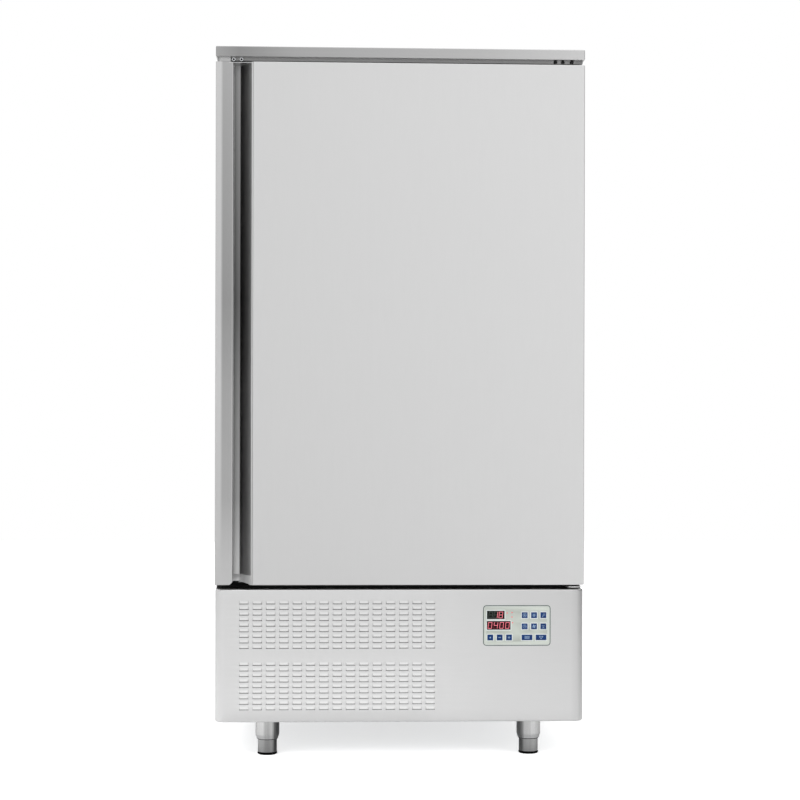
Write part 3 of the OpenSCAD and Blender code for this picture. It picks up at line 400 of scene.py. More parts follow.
# Cold-rolled stainless steel, grade 304, brushed with a belt: fine parallel scratches that pull
# the reflections out across them, and faint tonal streaks. The real scratches, 0.05 mm apart, are
# drawn about 1.5 mm apart so that they show at this size.
def brushedSteel(name, dark="#E4", light="#E6", rough=0.36, bump=0.01, grain=2, scratchGap=1.5,
        scratchLength=90, streakWidth=12, paintedShades=()):
    material, place = newMaterial(name)

    def addGrain(gap, length, settings):
        scale = [1000 / gap] * 3
        scale[grain] = 1000 / length
        along = addNode(material, "Mapping", {"Scale": scale}, {"Vector": place})
        return addNode(material, "TexNoise", {"Scale": 1, **settings}, {"Vector": along})

    scratches = addGrain(scratchGap, scratchLength, {"Detail": 3, "Roughness": 0.6})
    both = addMix(material, 0.45, scratches, addGrain(streakWidth, 6 * streakWidth, {"Detail": 2}))
    colour = addBand(material, both, (0.3, dark), (0.7, light))
    for shade in paintedShades:
        colour = paintedShadeAlong(material, place, colour, *shade)
    roughness = addRange(material, both, rough - 0.03, rough + 0.03, 0.3, 0.7)
    return closeMaterial(material, {"Metallic": 1}, {"Base Color": colour, "Roughness": roughness},
            scratches, bump)


# Moulded thermoplastic: an even, slightly grainy skin from the spark-eroded mould, half matt
def mouldedPlastic(name, dark, light, rough, grain, bump, specular=0.5, paintedShades=()):
    material, place = newMaterial(name)
    skin = addNoise(material, place, grain, 3)
    colour = addBand(material, addNoise(material, place, 40, 2), (0.3, dark), (0.7, light))
    for shade in paintedShades:
        colour = paintedShadeAlong(material, place, colour, *shade)
    roughness = addRange(material, skin, rough - 0.06, rough + 0.06)
    return closeMaterial(material, {"IOR": 1.5, "Specular IOR Level": specular},
            {"Base Color": colour, "Roughness": roughness}, skin, bump)


# Hot-dip galvanised steel sheet: a patchwork of zinc crystals, 4 to 15 mm across, each a little
# lighter or darker than its neighbours
def galvanisedSheet(name):
    material, place = newMaterial(name)
    crystals = addNode(material, "TexVoronoi", {"Scale": 1000 / 9, "Randomness": 1}, {"Vector": place})
    frost = addNoise(material, place, 1.5, 3)
    grey = addNode(material, "SeparateColor", {}, {"Color": (crystals, "Color")})
    both = addMix(material, 0.3, grey, frost)
    colour = addBand(material, both, (0.1, "#A9AEB2"), (0.9, "#C9CCCE"))
    return closeMaterial(material, {"Metallic": 1}, {"Base Color": colour,
            "Roughness": addRange(material, both, 0.36, 0.56)}, frost, 0.08)


# Metal that was cast, drawn or plated, not brushed: small dimples or drawing marks all over
def workedMetal(name, dark, light, rough, grain, bump, metallic=1, coat=0):
    material, place = newMaterial(name)
    stain = addNoise(material, place, 60, 3)
    colour = addBand(material, stain, (0.35, dark), (0.65, light))
    roughness = addRange(material, stain, rough - 0.05, rough + 0.08)
    return closeMaterial(material, {"Metallic": metallic, "Coat Weight": coat, "Coat Roughness": 0.15},
            {"Base Color": colour, "Roughness": roughness}, addNoise(material, place, grain, 4), bump)


# Screen-printed ink and the light of the display's segments: ink has a faint weave from the
# screen, a lit segment glows by itself
def printedInk(name, dark, light, rough=0.35, glow=0):
    material, place = newMaterial(name)
    weave = addNoise(material, place, 0.6, 2)
    settings = {"Roughness": rough, "Emission Color": linear(light), "Emission Strength": glow}
    return closeMaterial(material, settings, {"Base Color": addBand(material, weave, (0.2, dark),
            (0.8, light))}, weave, 0.05, 0.0001)


# Aluminium fins pressed on to copper tubes, 4 mm apart here instead of 2.5 so that they show:
# fine upright edges, and between them dark bands of painted shade for the gaps
def finnedCoil(name):
    material, place = newMaterial(name)
    turned = addNode(material, "Mapping", {"Scale": (1000 / 4, 1, 1)}, {"Vector": place})
    fins = addNode(material, "TexWave", {"wave_type": "BANDS", "bands_direction": "X", "Scale": 0.3183,
            "Distortion": 0.4, "Detail": 1}, {"Vector": turned})
    colour = addBand(material, fins, (0.1, "#6E7378"), (0.6, "#C6CACD"))
    return closeMaterial(material, {"Metallic": 1, "Roughness": 0.42}, {"Base Color": colour}, fins, 0.5,
            0.001)


# Fibreglass circuit board under green solder mask: copper tracks show through as paler lines
def solderMask(name):
    material, place = newMaterial(name)
    greens = {"Color1": linear("#1E5B33"), "Color2": linear("#256B3C"), "Mortar": linear("#4E9A5C")}
    tracks = addNode(material, "TexBrick", {"Scale": 1000 / 6, "Mortar Size": 0.04, **greens},
            {"Vector": place})
    return closeMaterial(material, {"Roughness": 0.35, "Coat Weight": 0.3},
            {"Base Color": (tracks, "Color")})


# Rigid polyurethane foam, cut: matt cream cells about 1 mm across
def foamCells(name):
    material, place = newMaterial(name)
    cells = addNode(material, "TexVoronoi", {"Scale": 1000 / 1.2}, {"Vector": place})
    colour = addBand(material, cells, (0.1, "#E4D6A6"), (0.7, "#C9B987"))
    return closeMaterial(material, {"Roughness": 0.95}, {"Base Color": colour}, cells, 0.4, 0.0005)


# painted shade: the door's steel is painted a little darker towards its left side and towards its bottom
doorSteel = brushedSteel("stainless_belt_brushed_door", "#E6", "#E8", paintedShades=[
    ("X", {-320: "#F5", 400: "#FF"}),
    ("Z", {377: "#F8", 900: "#FC", 1400: "#FF"})])
# painted reflection: the cap is painted from dark at its left end to light at its right end
capSteel = brushedSteel("stainless_belt_brushed_cap", rough=0.34, grain=0, paintedShades=[
    ("X", {-400: "#C2", -350: "#AC", -230: "#C6", 0: "#D2", 170: "#DA", 345: "#EA", 400: "#F0"})])
undersideSteel = brushedSteel("stainless_belt_brushed_underside", "#E2", "#E8", rough=0.34)
# painted shade: the hem under the cap's overhang is darker steel, and darker again from x -366 to the right
# end; the blank plate at the left end keeps the lighter tone
hemSteel = brushedSteel("stainless_belt_brushed_hem", "#BC", "#C4", paintedShades=[
    ("X", {-368: "#FF", -366: "#BB", 320: "#BB", 340: "#CC", 400: "#B0"})])
# painted shade: the handle's lip, pocket floor and slope are painted darker in bands across X, faded in from
# the bottom end, with the lip's rim left at full tone as a lighter line; the whole handle is also painted
# darker towards its bottom end
handleSteel = brushedSteel("stainless_belt_brushed_handle", rough=0.32, paintedShades=[
    ("X", {-400: "#E7", -389: "#E7", -384: "#AE", -364.5: "#B2", -362.5: "#FF", -361: "#6C", -354: "#78",
           -348: "#83", -345: "#94", -325: "#C8", -322: "#F5", -319: "#F5"},
     ("Z", {377: "#00", 420: "#59", 560: "#CB", 990: "#FF", 1380: "#E7", 1507: "#DA"})),
    ("Z", {377: "#E2", 520: "#ED", 800: "#FF"})])
# painted shade: the panel is painted darker towards its right bend and towards its top
panelSteel = brushedSteel("stainless_belt_brushed_panel", "#F0", "#F2", grain=0, paintedShades=[
    ("X", {100: "#FF", 300: "#F7", 372: "#F3", 387: "#E8", 400: "#D6"}),
    ("Z", {110: "#FF", 223: "#F7", 350: "#EF"})])
sideSteel = brushedSteel("stainless_belt_brushed_side", rough=0.38)
innerSteel = brushedSteel("stainless_dull_rolled_inside", "#D4", "#DD", rough=0.42, bump=0.03)
# painted reflection: the tubes are painted darker on their inner sides, standing in for the dark space
# under the cabinet that they would mirror; the cups are painted darker below the sleeves as painted shade
footSteel = brushedSteel("stainless_turned_tube", "#DC", "#F0", 0.17, 0.03, scratchGap=2.2, streakWidth=6,
                         paintedShades=[
    ("X", {-314: "#A8", -311: "#F0", -303: "#FF", -297: "#FF", -292: "#E2", -284: "#DE", -279: "#F0",
           -275.5: "#DC", -273: "#80", -262: "#76", 262: "#C0", 265: "#8C", 272: "#90", 277: "#E8",
           298: "#F4", 306: "#D8", 314: "#C0"}),
    ("Z", {33: "#CC", 34.5: "#FF"})])
zincSheet = galvanisedSheet("galvanised_sheet_spangled")

# these are followed by darkest and lightest tone, roughness, grain in mm and bump
chromeWire = workedMetal("chromed_steel_wire", "#D8DADC", "#E8EAEC", 0.18, 0.8, 0.03)
screwSteel = workedMetal("stainless_cold_formed_screw", "#B9B9B8", "#D0D0CF", 0.3, 0.5, 0.1)
copper = workedMetal("copper_tube_drawn", "#B4693F", "#D08A5C", 0.3, 0.7, 0.06)
blackEnamel = workedMetal("black_enamel_sprayed", "#18191A", "#222324", 0.4, 2.5, 0.12, metallic=0, coat=0.5)
greyEnamel = workedMetal("grey_enamel_cast_motor", "#3E4448", "#52585C", 0.5, 1.2, 0.2, metallic=0, coat=0.2)
powderCoat = workedMetal("black_powder_coat_steel", "#14", "#1E", 0.6, 0.7, 0.2, metallic=0)
blackPlastic = mouldedPlastic("black_nylon_moulded", "#09", "#10", 0.6, 0.6, 0.12, specular=0.25)
fanPlastic = mouldedPlastic("glass_filled_nylon_fan", "#1C1E20", "#2A2C2F", 0.55, 0.9, 0.2)
# the skirt's light grey is partly its own colour and partly painted light from above; it is painted darker
# where it runs up the pocket's slope, as painted shade
pocketPlastic = mouldedPlastic("grey_abs_moulded_pocket_end", "#DA", "#E2", 0.5, 0.6, 0.08, paintedShades=[
    ("X", {-350: "#FF", -346: "#C8", -338: "#A6", -328: "#B0", -321: "#CC"})])
# black nylon held almost without sheen: partly its own black, partly painted shade, so that the plug deep in
# the handle's recess and the foot pads read as dark as shade there
recessPlastic = mouldedPlastic("black_nylon_moulded_matt", "#04", "#08", 0.8, 1, 0.1, specular=0.06)
filterMesh = mouldedPlastic("polyester_filter_mesh", "#0C", "#18", 0.8, 1.6, 0.6, specular=0.1)
gasketRubber = mouldedPlastic("thermoplastic_rubber_extruded", "#2B2C2D", "#3A3B3C", 0.7, 0.8, 0.15)
rimPlastic = mouldedPlastic("grey_abs_moulded_rim", "#DDE0DD", "#E6E8E6", 0.45, 0.5, 0.08)
overlayFilm = mouldedPlastic("polyester_film_printed", "#D0D6CE", "#D4DAD2", 0.4, 0.4, 0.05)
keyPlastic = mouldedPlastic("blue_polycarbonate_key", "#08316A", "#0C3E7C", 0.4, 0.5, 0.06, specular=0.3)
lensPlastic = mouldedPlastic("smoked_acrylic_lens", "#060A08", "#0D120F", 0.35, 0.6, 0.02, specular=0.2)
redLens = mouldedPlastic("smoked_red_acrylic_lens", "#26040A", "#320810", 0.35, 0.6, 0.02, specular=0.2)
bandInk = printedInk("screen_print_grey_green", "#54645D", "#61716A", 0.5)
frameInk = printedInk("screen_print_pale_blue", "#E6EDEC", "#EEF3F2", 0.5)
iconInk = printedInk("screen_print_icon_blue", "#86A2C4", "#A2B9D4", 0.5)
ghostInk = printedInk("display_segment_off", "#36403A", "#444E48")
ghostRed = printedInk("display_segment_off_red", "#5C0C18", "#70131F")
litSegment = printedInk("display_segment_lit", "#E0586A", "#EE8490", glow=0.6)
markLight = printedInk("indicator_light_red", "#E03A4A", "#F0505E", glow=0.35)
coilFins = finnedCoil("aluminium_fins_pressed")
circuitBoard = solderMask("circuit_board_solder_mask")
polyFoam = foamCells("polyurethane_foam_cut")
print("materials:", len(bpy.data.materials))


# ---- the camera stands where the photograph was taken from
camera = {"place": (-0.171, -4.502, 0.700), "lens": 85.2, "shiftY": 0.0444, "yaw": -2.38, "pitch": 0.01,
        "roll": 0.131}


def addCamera():
    lens = bpy.data.cameras.new("studioCamera")
    lens.lens = camera["lens"]
    lens.sensor_width = 36
    lens.shift_y = camera["shiftY"]
    holder = bpy.data.objects.new("studioCamera", lens)
    bpy.context.scene.collection.objects.link(holder)
    turn = (Matrix.Rotation(math.radians(camera["yaw"]), 4, "Z")
            @ Matrix.Rotation(math.radians(90 + camera["pitch"]), 4, "X")
            @ Matrix.Rotation(math.radians(camera["roll"]), 4, "Z"))
    holder.matrix_world = Matrix.Translation(camera["place"]) @ turn
    bpy.context.scene.camera = holder


addCamera()


# ---- folded cover over the cabinet and the door
cover = {"sheet": 1.2, "returnWidth": 64, "fold": 2.2}


def makeTopCap():
    low, high = boxOf("top_cap")
    cap = addBlock("topCap", low, high)
    edit(cap)
    pick(cap, "FACE", on(2, low.z))
    inset(cover["returnWidth"])
    bpy.ops.mesh.delete(type="FACE")
    leave()
    roundEdges(cap, cover["fold"], segments=3)
    thicken(cap, cover["sheet"])
    finishPiece(cap, capSteel, "cabinet", "stainless_outer", "top_cap")
    # painted light: the folded rim's underside gets its own steel, without the cap's painted reflection, so
    # that it reads lighter, standing in for the light it takes up from the door's upper edge
    cap.data.materials.append(undersideSteel)
    for face in cap.data.polygons:
        if face.normal.z < -0.95:
            face.material_index = 1


makeTopCap()
print("cover made")


# ---- door: outer skin, handle with its pocket, plugs
door = {"sheet": 1.2, "fold": 2.2, "freeEdge": 0.4}


def makeDoorSkin():
    low, high = boxOf("door_skin")
    low.x = boxOf("handle_profile")[1].x
    skin = addBlock("doorSkin", low, high)
    edit(skin)
    dropFaces(skin, on(1, high.y))
    bevelEdges(skin, lambda edge: isFold(edge) and lies(edge, 0, low.x) and lies(edge, 1, low.y),
            door["freeEdge"], 2)
    bevelEdges(skin, lambda edge: isFold(edge, 1) and (lies(edge, 1, low.y) or lies(edge, 0, high.x)),
            door["fold"], 3)
    leave()
    thicken(skin, door["sheet"])
    finishPiece(skin, doorSteel, "door", "stainless_outer", "door_skin")


handle = {
    "sheet": 1.5, "lipFlat": 14, "lipWidth": 38, "lipLean": 1.2, "lipDepth": 12, "gripWall": 12,
    "pocketDepth": 40, "pocketWidth": 40, "slope": 25, "slopeSteps": 5, "creaseRound": 3, "rimRound": 1.8,
    "insideRound": 2, "lipCorner": 5,
}
# the black recess in the lower end, with the left and right X of its bottom and top edges
plug = {"height": 9, "front": -401, "back": -385.5, "bottom": (-370, -321), "top": (-360.2, -346),
        "upperHeight": 1.2, "upperFront": -406, "round": 0.8, "upperRound": 0.5, "rim": 1.6, "sunk": 0.8}


def handleLine():
    low, high = boxOf("handle_profile")
    h = handle
    lipEnd = low.x + h["lipWidth"]
    slopeEnd = lipEnd + h["pocketWidth"]
    floorY = low.y + h["pocketDepth"]
    slope = []
    for i in range(h["slopeSteps"] + 1):
        share = i / h["slopeSteps"]
        # steep at the bottom of the pocket, flatter towards the door's face
        slope.append((slopeEnd - h["slope"] * (1 - 0.5 * share - 0.5 * share * share),
                floorY - h["pocketDepth"] * share))
    return low, high, lipEnd, floorY, slope


# a block with slanted ends, wider at its bottom
def slantedBlock(name, front, back, low, high):
    block = addBlock(name, (plug["bottom"][0], front, low), (plug["bottom"][1], back, high))
    edit(block)
    for bottom, top in zip(plug["bottom"], plug["top"]):
        pick(block, "VERT", lambda point: lies(point, 0, bottom) and lies(point, 2, high))
        move((top - bottom, 0, 0))
    leave()
    return block


def makeHandle():
    low, high, lipEnd, floorY, slope = handleLine()
    h = handle
    lipBack = (low.x + h["gripWall"], low.y + h["lipDepth"])
    wellBack = (low.x + h["gripWall"], floorY)
    crease = (low.x + h["lipFlat"], low.y)
    corners = [(low.x, high.y), (low.x, low.y), crease, (lipEnd, low.y + h["lipLean"]), (lipEnd, lipBack[1]),
            lipBack, wellBack] + slope + [(high.x, low.y), (high.x, high.y)]
    grip = bentLine("handleProfile", [(x, y, low.z) for x, y in corners])
    pick(grip, "VERT", on(1, high.y))
    bpy.ops.mesh.edge_face_add()
    selectAll()
    bpy.ops.mesh.edge_face_add()
    extrude((0, 0, high.z - low.z))
    outward()
    near = lambda edge, x, y: along(edge, 2) and lies(edge, 0, x) and lies(edge, 1, y)
    bevelEdges(grip, lambda edge: along(edge, 1) and lies(edge, 0, lipEnd), h["lipCorner"], 4)
    # the lip's rim, round both of its corners
    front = low.y + h["lipLean"] + 1
    bevelEdges(grip, lambda edge: isFold(edge, 1.2) and all(point.co.y < front for point in edge.verts)
         and (max(point.co.z for point in edge.verts) > high.z - h["lipCorner"] - 1
              or min(point.co.z for point in edge.verts) < low.z + h["lipCorner"] + 1), h["rimRound"], 3)
    bevelEdges(grip, lambda edge: any(near(edge, *place) for place in (lipBack, wellBack, slope[0])),
            h["insideRound"], 3)
    bevelEdges(grip, lambda edge: along(edge, 2) and lies(edge, 0, crease[0]) and lies(edge, 1, crease[1]),
            h["creaseRound"], 1)
    leave()
    cutWith(grip, slantedBlock("recessCutter", low.y - 5, plug["back"] + 1.5, low.z - 1,
            low.z - 1 + plug["height"]))
    edit(grip)
    dropFaces(grip, on(1, high.y))
    leave()
    thicken(grip, h["sheet"])
    finishPiece(grip, handleSteel, "door", "stainless_outer", "handle_profile")


# a leaning skirt closes the pocket over the black recess, a flat sheet closes it at the top
pocketEnd = {"top": 398, "low": 384, "out": 9, "share": 0.8, "left": 3, "sheet": 1,
        "ceiling": (1504.4, 1505.6), "ceilingRound": 0.3, "beforeWall": 0.3, "behindFace": 0.7,
        "overRecess": 0.6, "lap": 1.5}


def makePocketEnds():
    low, _, _, floorY, slope = handleLine()
    e = pocketEnd
    # the upper edge lies just before the pocket's wall and behind the door's face
    wall = [(x, max(y - e["beforeWall"], low.y + e["behindFace"]))
            for x, y in [(low.x + handle["gripWall"], floorY)] + slope]
    skirt = bentLine("pocketEndLower", [(x, y, e["top"]) for x, y in wall])
    selectAll()
    extrude((0, 0, -1))
    cornerX, cornerZ = plug["top"][1], low.z + plug["height"]
    fall = plug["height"] / (plug["bottom"][1] - cornerX)
    for x, y in wall:
        # the skirt's lower edge comes forward and follows the recess's slanted side
        forward = min(y - e["out"], y + e["share"] * (low.y - y))
        goal = Vector((x - e["left"] * (y - low.y) / handle["pocketDepth"],
                max(forward, low.y + e["behindFace"]),
                min(e["low"], cornerZ - fall * (x - cornerX) + e["overRecess"])))
        pick(skirt, "VERT", lambda point: lies(point, 0, x) and lies(point, 1, y)
                and lies(point, 2, e["top"] - 1))
        move(goal - Vector((x, y, e["top"] - 1)))
    outward()
    leave()
    thicken(skirt, e["sheet"], offset=0)
    finishPiece(skirt, pocketPlastic, "door", "black_moulding", "handle_profile")
    ceiling = addBlock("pocketEndUpper",
            (low.x + handle["gripWall"] - 1, low.y + e["behindFace"], e["ceiling"][0]),
            (slope[-1][0] + e["lap"], floorY + 0.5, e["ceiling"][1]))
    roundEdges(ceiling, e["ceilingRound"])
    finishPiece(ceiling, doorSteel, "door", "stainless_outer", "handle_profile")


peg = {"xs": (-361.6, -344.9), "z": 1511.8, "y": -405.5, "radius": 4.4, "socket": 2.3, "long": 8.8}


def makePlugs():
    low, high = boxOf("door_skin")
    p = plug
    lower = slantedBlock("plugLower", p["front"], p["back"], low.z, low.z + p["height"])
    edit(lower)
    pick(lower, "FACE", on(1, p["front"]))
    inset(p["rim"])
    move((0, p["sunk"], 0))
    leave()
    roundEdges(lower, p["round"])
    upper = slantedBlock("plugUpper", p["upperFront"], p["back"], high.z - p["upperHeight"], high.z)
    roundEdges(upper, p["upperRound"])
    for piece in (lower, upper):
        finishPiece(piece, recessPlastic, "door", "black_moulding", "handle_plugs")
    # the foam stops short of the recess
    foam = nodeCopy("door_foam", "doorFoam")
    cutWith(foam, slantedBlock("foamCutter", -410, p["back"] + 1, low.z - 1, low.z + p["height"] + 4))
    finishPiece(foam, polyFoam, "door", "rigid_foam", "door_foam")
    # two bolts in the cover's hem over the handle: a bright head with a socket, facing the front; a black
    # core fills each socket as painted shade
    for i, x in enumerate(peg["xs"]):
        r, socket = peg["radius"], peg["socket"]
        head = turnPiece(f"pegRim{i + 1}", (x, peg["y"], peg["z"]),
                [(0, peg["long"]), (r * 0.6, peg["long"]), (r * 0.6, 3), (r, 3), (r, 0.8), (r - 0.7, 0),
                (socket + 0.2, 0), (socket, 0.3), (socket, 2.4), (0, 2.4)], 24, alongY=True)
        finishPiece(head, chromeWire, "cabinet", "screw_steel")
        core = turnPiece(f"pegCore{i + 1}", (x, peg["y"], peg["z"]),
                [(0, 2.3), (socket - 0.1, 2.3), (socket - 0.1, 0.7), (socket - 0.5, 0.5), (0, 0.9)], 18,
                alongY=True)
        finishPiece(core, blackPlastic, "cabinet", "black_moulding")


makeDoorSkin()
makeHandle()
makePocketEnds()
makePlugs()
print("door front made")


# ---- lower front panel with its louvres
panel = {
    "sheet": 1.2, "face": -404.5, "back": -337, "cornerRound": 20, "edgeRound": 5, "flange": 22,
    "louvreX": -337, "louvreZ": 339.7, "columns": 15, "rows": 9, "pitchX": 28.8, "pitchZ": 12,
    "mouthShow": 1.5, "mouthShare": 0.8, "blockDrop": 132.6, "louvreWidth": 20.5, "louvreHeight": 8.4,
    "louvreOut": 2.9, "cutoutX": (186.8, 321.2), "cutoutZ": (251.3, 326.7),
}


def louvreCuts():
    p = panel
    half = p["louvreWidth"] / 2
    xs = [p["louvreX"] + i * p["pitchX"] + side for i in range(p["columns"]) for side in (-half, half)]
    tall = p["louvreHeight"] / 2
    zs = [p["louvreZ"] - b * p["blockDrop"] - j * p["pitchZ"] + side
          for b in (0, 1) for j in range(p["rows"]) for side in (-tall, p["mouthShow"] - tall, tall)]
    return xs, zs


# one pressed hood, open at its lower edge, repeated in rows, columns and blocks
def makeLouvres():
    p = panel
    tall = p["louvreHeight"] / 2
    mouth = p["louvreZ"] - tall + p["mouthShow"]
    hood = addBlock("louvres", (p["louvreX"] - p["louvreWidth"] / 2, p["face"] - p["louvreOut"], mouth),
            (p["louvreX"] + p["louvreWidth"] / 2, p["face"], p["louvreZ"] + tall))
    edit(hood)
    dropFaces(hood, lambda face: lies(face, 1, p["face"]) or lies(face, 2, mouth))
    front = p["face"] - p["louvreOut"]
    pick(hood, "VERT", lambda point: lies(point, 1, front) and point.co.z > p["louvreZ"])
    move((0, 0, -0.62 * p["louvreHeight"]))
    pick(hood, "VERT", on(1, front))
    middle = (p["louvreX"], front, p["louvreZ"])
    bpy.ops.transform.resize(value=(p["mouthShare"], 1, 1), center_override=middle)
    bevelEdges(hood, lambda edge: isFold(edge) and lies(edge, 1, front), 1.1, 2)
    leave()
    for count, step in ((p["columns"], (p["pitchX"], 0, 0)), (p["rows"], (0, 0, -p["pitchZ"])),
            (2, (0, 0, -p["blockDrop"]))):
        applyModifier(hood, "ARRAY", count=count, use_relative_offset=False, use_constant_offset=True,
                constant_offset_displace=step)
    return hood


def makeFrontPanel():
    p = panel
    low, high = boxOf("front_panel")
    sheet = addBlock("frontPanel", (low.x, p["face"], low.z), (high.x, p["back"], high.z))
    edit(sheet)
    dropFaces(sheet, on(1, p["back"]))
    pick(sheet, "FACE", lambda face: lies(face, 2, low.z) or lies(face, 2, high.z))
    bpy.ops.mesh.bisect(plane_co=(0, p["face"] + p["flange"], 0), plane_no=(0, 1, 0))
    dropFaces(sheet, lambda face: (lies(face, 2, low.z) or lies(face, 2, high.z))
         and face.calc_center_median().y > p["face"] + p["flange"])
    bevelEdges(sheet, lambda edge: isFold(edge) and along(edge, 2) and lies(edge, 1, p["face"]),
            p["cornerRound"], 8)
    bevelEdges(sheet, lambda edge: isFold(edge, 1) and (lies(edge, 2, low.z) or lies(edge, 2, high.z)),
            p["edgeRound"], 4)
    # the openings behind the hoods and for the control panel
    xs, zs = louvreCuts()
    cuts = [((x, 0, 0), (1, 0, 0)) for x in xs + list(p["cutoutX"])]
    cuts += [((0, 0, z), (0, 0, 1)) for z in zs + list(p["cutoutZ"])]
    for place, normal in cuts:
        pick(sheet, "FACE", on(1, p["face"]))
        bpy.ops.mesh.bisect(plane_co=place, plane_no=normal)
    half, tall = p["louvreWidth"] / 2, p["louvreHeight"] / 2
    middles = [(p["louvreX"] + i * p["pitchX"], p["louvreZ"] - b * p["blockDrop"] - j * p["pitchZ"])
            for b in (0, 1) for i in range(p["columns"]) for j in range(p["rows"])]

    def isOpening(face):
        if not lies(face, 1, p["face"]):
            return False
        at = face.calc_center_median()
        if p["cutoutX"][0] < at.x < p["cutoutX"][1] and p["cutoutZ"][0] < at.z < p["cutoutZ"][1]:
            return True
        return any(abs(at.x - x) < half and abs(at.z - z) < tall for x, z in middles)

    print("panel openings:", dropFaces(sheet, isOpening))
    leave()
    sheet = join("frontPanel", [sheet, makeLouvres()])
    edit(sheet)
    selectAll()
    bpy.ops.mesh.remove_doubles(threshold=0.01)
    leave()
    thicken(sheet, p["sheet"])
    finishPiece(sheet, panelSteel, "cabinet", "stainless_outer", "front_panel")


dustFilter = {"low": (-352, -388, 104), "high": (82, -385, 344)}


# a washable filter stands behind the louvres; its near-black mesh also stands in for the shade behind
# the openings, as painted shade
def makeDustFilter():
    mat = addBlock("dustFilter", dustFilter["low"], dustFilter["high"])
    roundEdges(mat, 0.6)
    finishPiece(mat, filterMesh, "cabinet", "black_moulding")


makeFrontPanel()
makeDustFilter()
print("front panel made")


# ---- control panel: rim, overlay with printed frames, displays, indicators and keys
control = {
    "x": 254, "z": 289, "width": 147, "height": 88, "round": 7, "bandIn": 0.1, "bandWidth": 1.8,
    "overlayFront": -406.5, "printProud": 0.1, "frameLine": 1.6, "frameOut": 1.8,
    "frameRound": 1.6, "bandProud": 0.12,
    "displays": (((-45.9, 22.9), (38.2, 18)), ((-39.5, 0.3), (51.6, 18.6))),
    "marks": ((-21.1, 27.1), (-10.6, 28.2), (-10.6, 18.4), (-9.4, 6.0)), "markSize": (2.4, 1.9),
}
keys = {
    "front": -407.0, "depth": 5, "round": 0.8, "crown": 0.25, "crownIn": 1.3,
    "places": {
        "key_set": (-57.8, -26), "key_minus": (-37.4, -26), "key_plus": (-17.0, -26),
        "key_chill": (17, 22.3), "key_freeze": (37.4, 22.3), "key_probe": (57.8, 22.3),
        "key_timer": (17, -2.0), "key_fan": (37.4, -2.0), "key_defrost": (57.8, -2.0),
        "key_cycle": (22.2, -26), "key_start": (52.8, -26)},
    "square": (12.4, 12.4), "wide": (23, 11.6), "wideKeys": ("key_cycle", "key_start"),
    "iconProud": 0.2, "line": 0.75,
}


# a thin rounded frame, printed or inlaid, round a middle point
def addFrame(name, middle, size, line, corner, y, proud):
    half = (size[0] / 2, size[1] / 2)
    ring = addSheet(name, (middle[0] - half[0], middle[1] - half[1]),
            (middle[0] + half[0], middle[1] + half[1]), y)
    edit(ring)
    selectAll()
    bpy.ops.mesh.bevel(offset=corner, segments=4, affect="VERTICES")
    selectAll()
    inset(line)
    bpy.ops.mesh.delete(type="FACE")
    leave()
    return thicken(ring, proud, offset=1)


def addBar(name, middle, size, y, proud, turn=0):
    bar = addBlock(name, (-size[0] / 2, -proud, -size[1] / 2), (size[0] / 2, 0, size[1] / 2))
    edit(bar)
    pick(bar, "FACE", on(1, -proud))
    inset(min(size) * 0.12)
    leave()
    bar.rotation_euler = (0, turn, 0)
    bar.location = (middle[0], y, middle[1])
    bakePlace(bar)
    return bar


# part of a ring, drawn from one angle to another
def addArc(name, middle, radius, line, y, proud, start=0, sweep=360):
    steps = max(6, int(sweep / 20))
    arc = bentLine(name, [(radius - line / 2, 0, 0), (radius + line / 2, 0, 0)])
    selectAll()
    bpy.ops.mesh.spin(steps=steps, angle=math.radians(sweep), center=(0, 0, 0), axis=(0, 1, 0))
    selectAll()
    bpy.ops.mesh.remove_doubles(threshold=0.005)
    selectAll()
    extrude((0, -proud, 0))
    outward()
    leave()
    arc.rotation_euler = (0, -math.radians(start), 0)
    arc.location = (middle[0], y, middle[1])
    bakePlace(arc)
    return arc


def addDot(name, middle, radius, y, proud):
    return turnPiece(name, (middle[0], y, middle[1]), [(0.01, -proud), (radius * 0.8, -proud),
            (radius, -proud * 0.6), (radius, 0)], 16, alongY=True)


def keySize(name):
    return keys["wide" if name in keys["wideKeys"] else "square"]


def makeRim():
    c = control
    rim = nodeCopy("control_bezel", "controlRim")
    roundEdges(rim, 0.35, angle=40)
    finishPiece(rim, rimPlastic, "cabinet", "bezel_moulding", "control_bezel")
    band = addFrame("rimBand", (c["x"], c["z"]),
            (c["width"] - 2 * c["bandIn"], c["height"] - 2 * c["bandIn"]), c["bandWidth"],
            c["round"] - c["bandIn"], c["overlayFront"], c["bandProud"])
    finishPiece(band, bandInk, "cabinet", "bezel_moulding")
    film = nodeCopy("control_overlay", "controlOverlay")
    roundEdges(film, 0.12, segments=1, angle=50)
    finishPiece(film, overlayFilm, "cabinet", "overlay_film", "control_overlay")
    rings = [(middle, keySize(name)) for name, middle in keys["places"].items()] + list(c["displays"])
    frames = []
    for i, ((dx, dz), size) in enumerate(rings):
        around = [side + 2 * c["frameOut"] for side in size]
        frames.append(addFrame(f"ring{i}", (c["x"] + dx, c["z"] + dz), around, c["frameLine"],
                c["frameRound"], c["overlayFront"], c["printProud"]))
    finishPiece(join("printedFrames", frames), frameInk, "cabinet", "overlay_film")


# seven-segment figures: which segments are lit, from the top clockwise and then the middle
figures = {"-": "g", "0": "abcdef", "1": "bc", "4": "bcfg", "8": "abcdefg", " ": ""}
display = {"lensFront": -406.5, "lensBack": -403.5, "lensRound": 0.5, "between": 0.5, "markProud": 0.14,
        "proud": 0.14, "thick": 0.9, "figureHeight": 12.8, "figureWidth": 7.6, "pitch": 11, "lean": 0.12,
        "upper": " 18", "lower": "0400", "lowerPitch": 12.6}


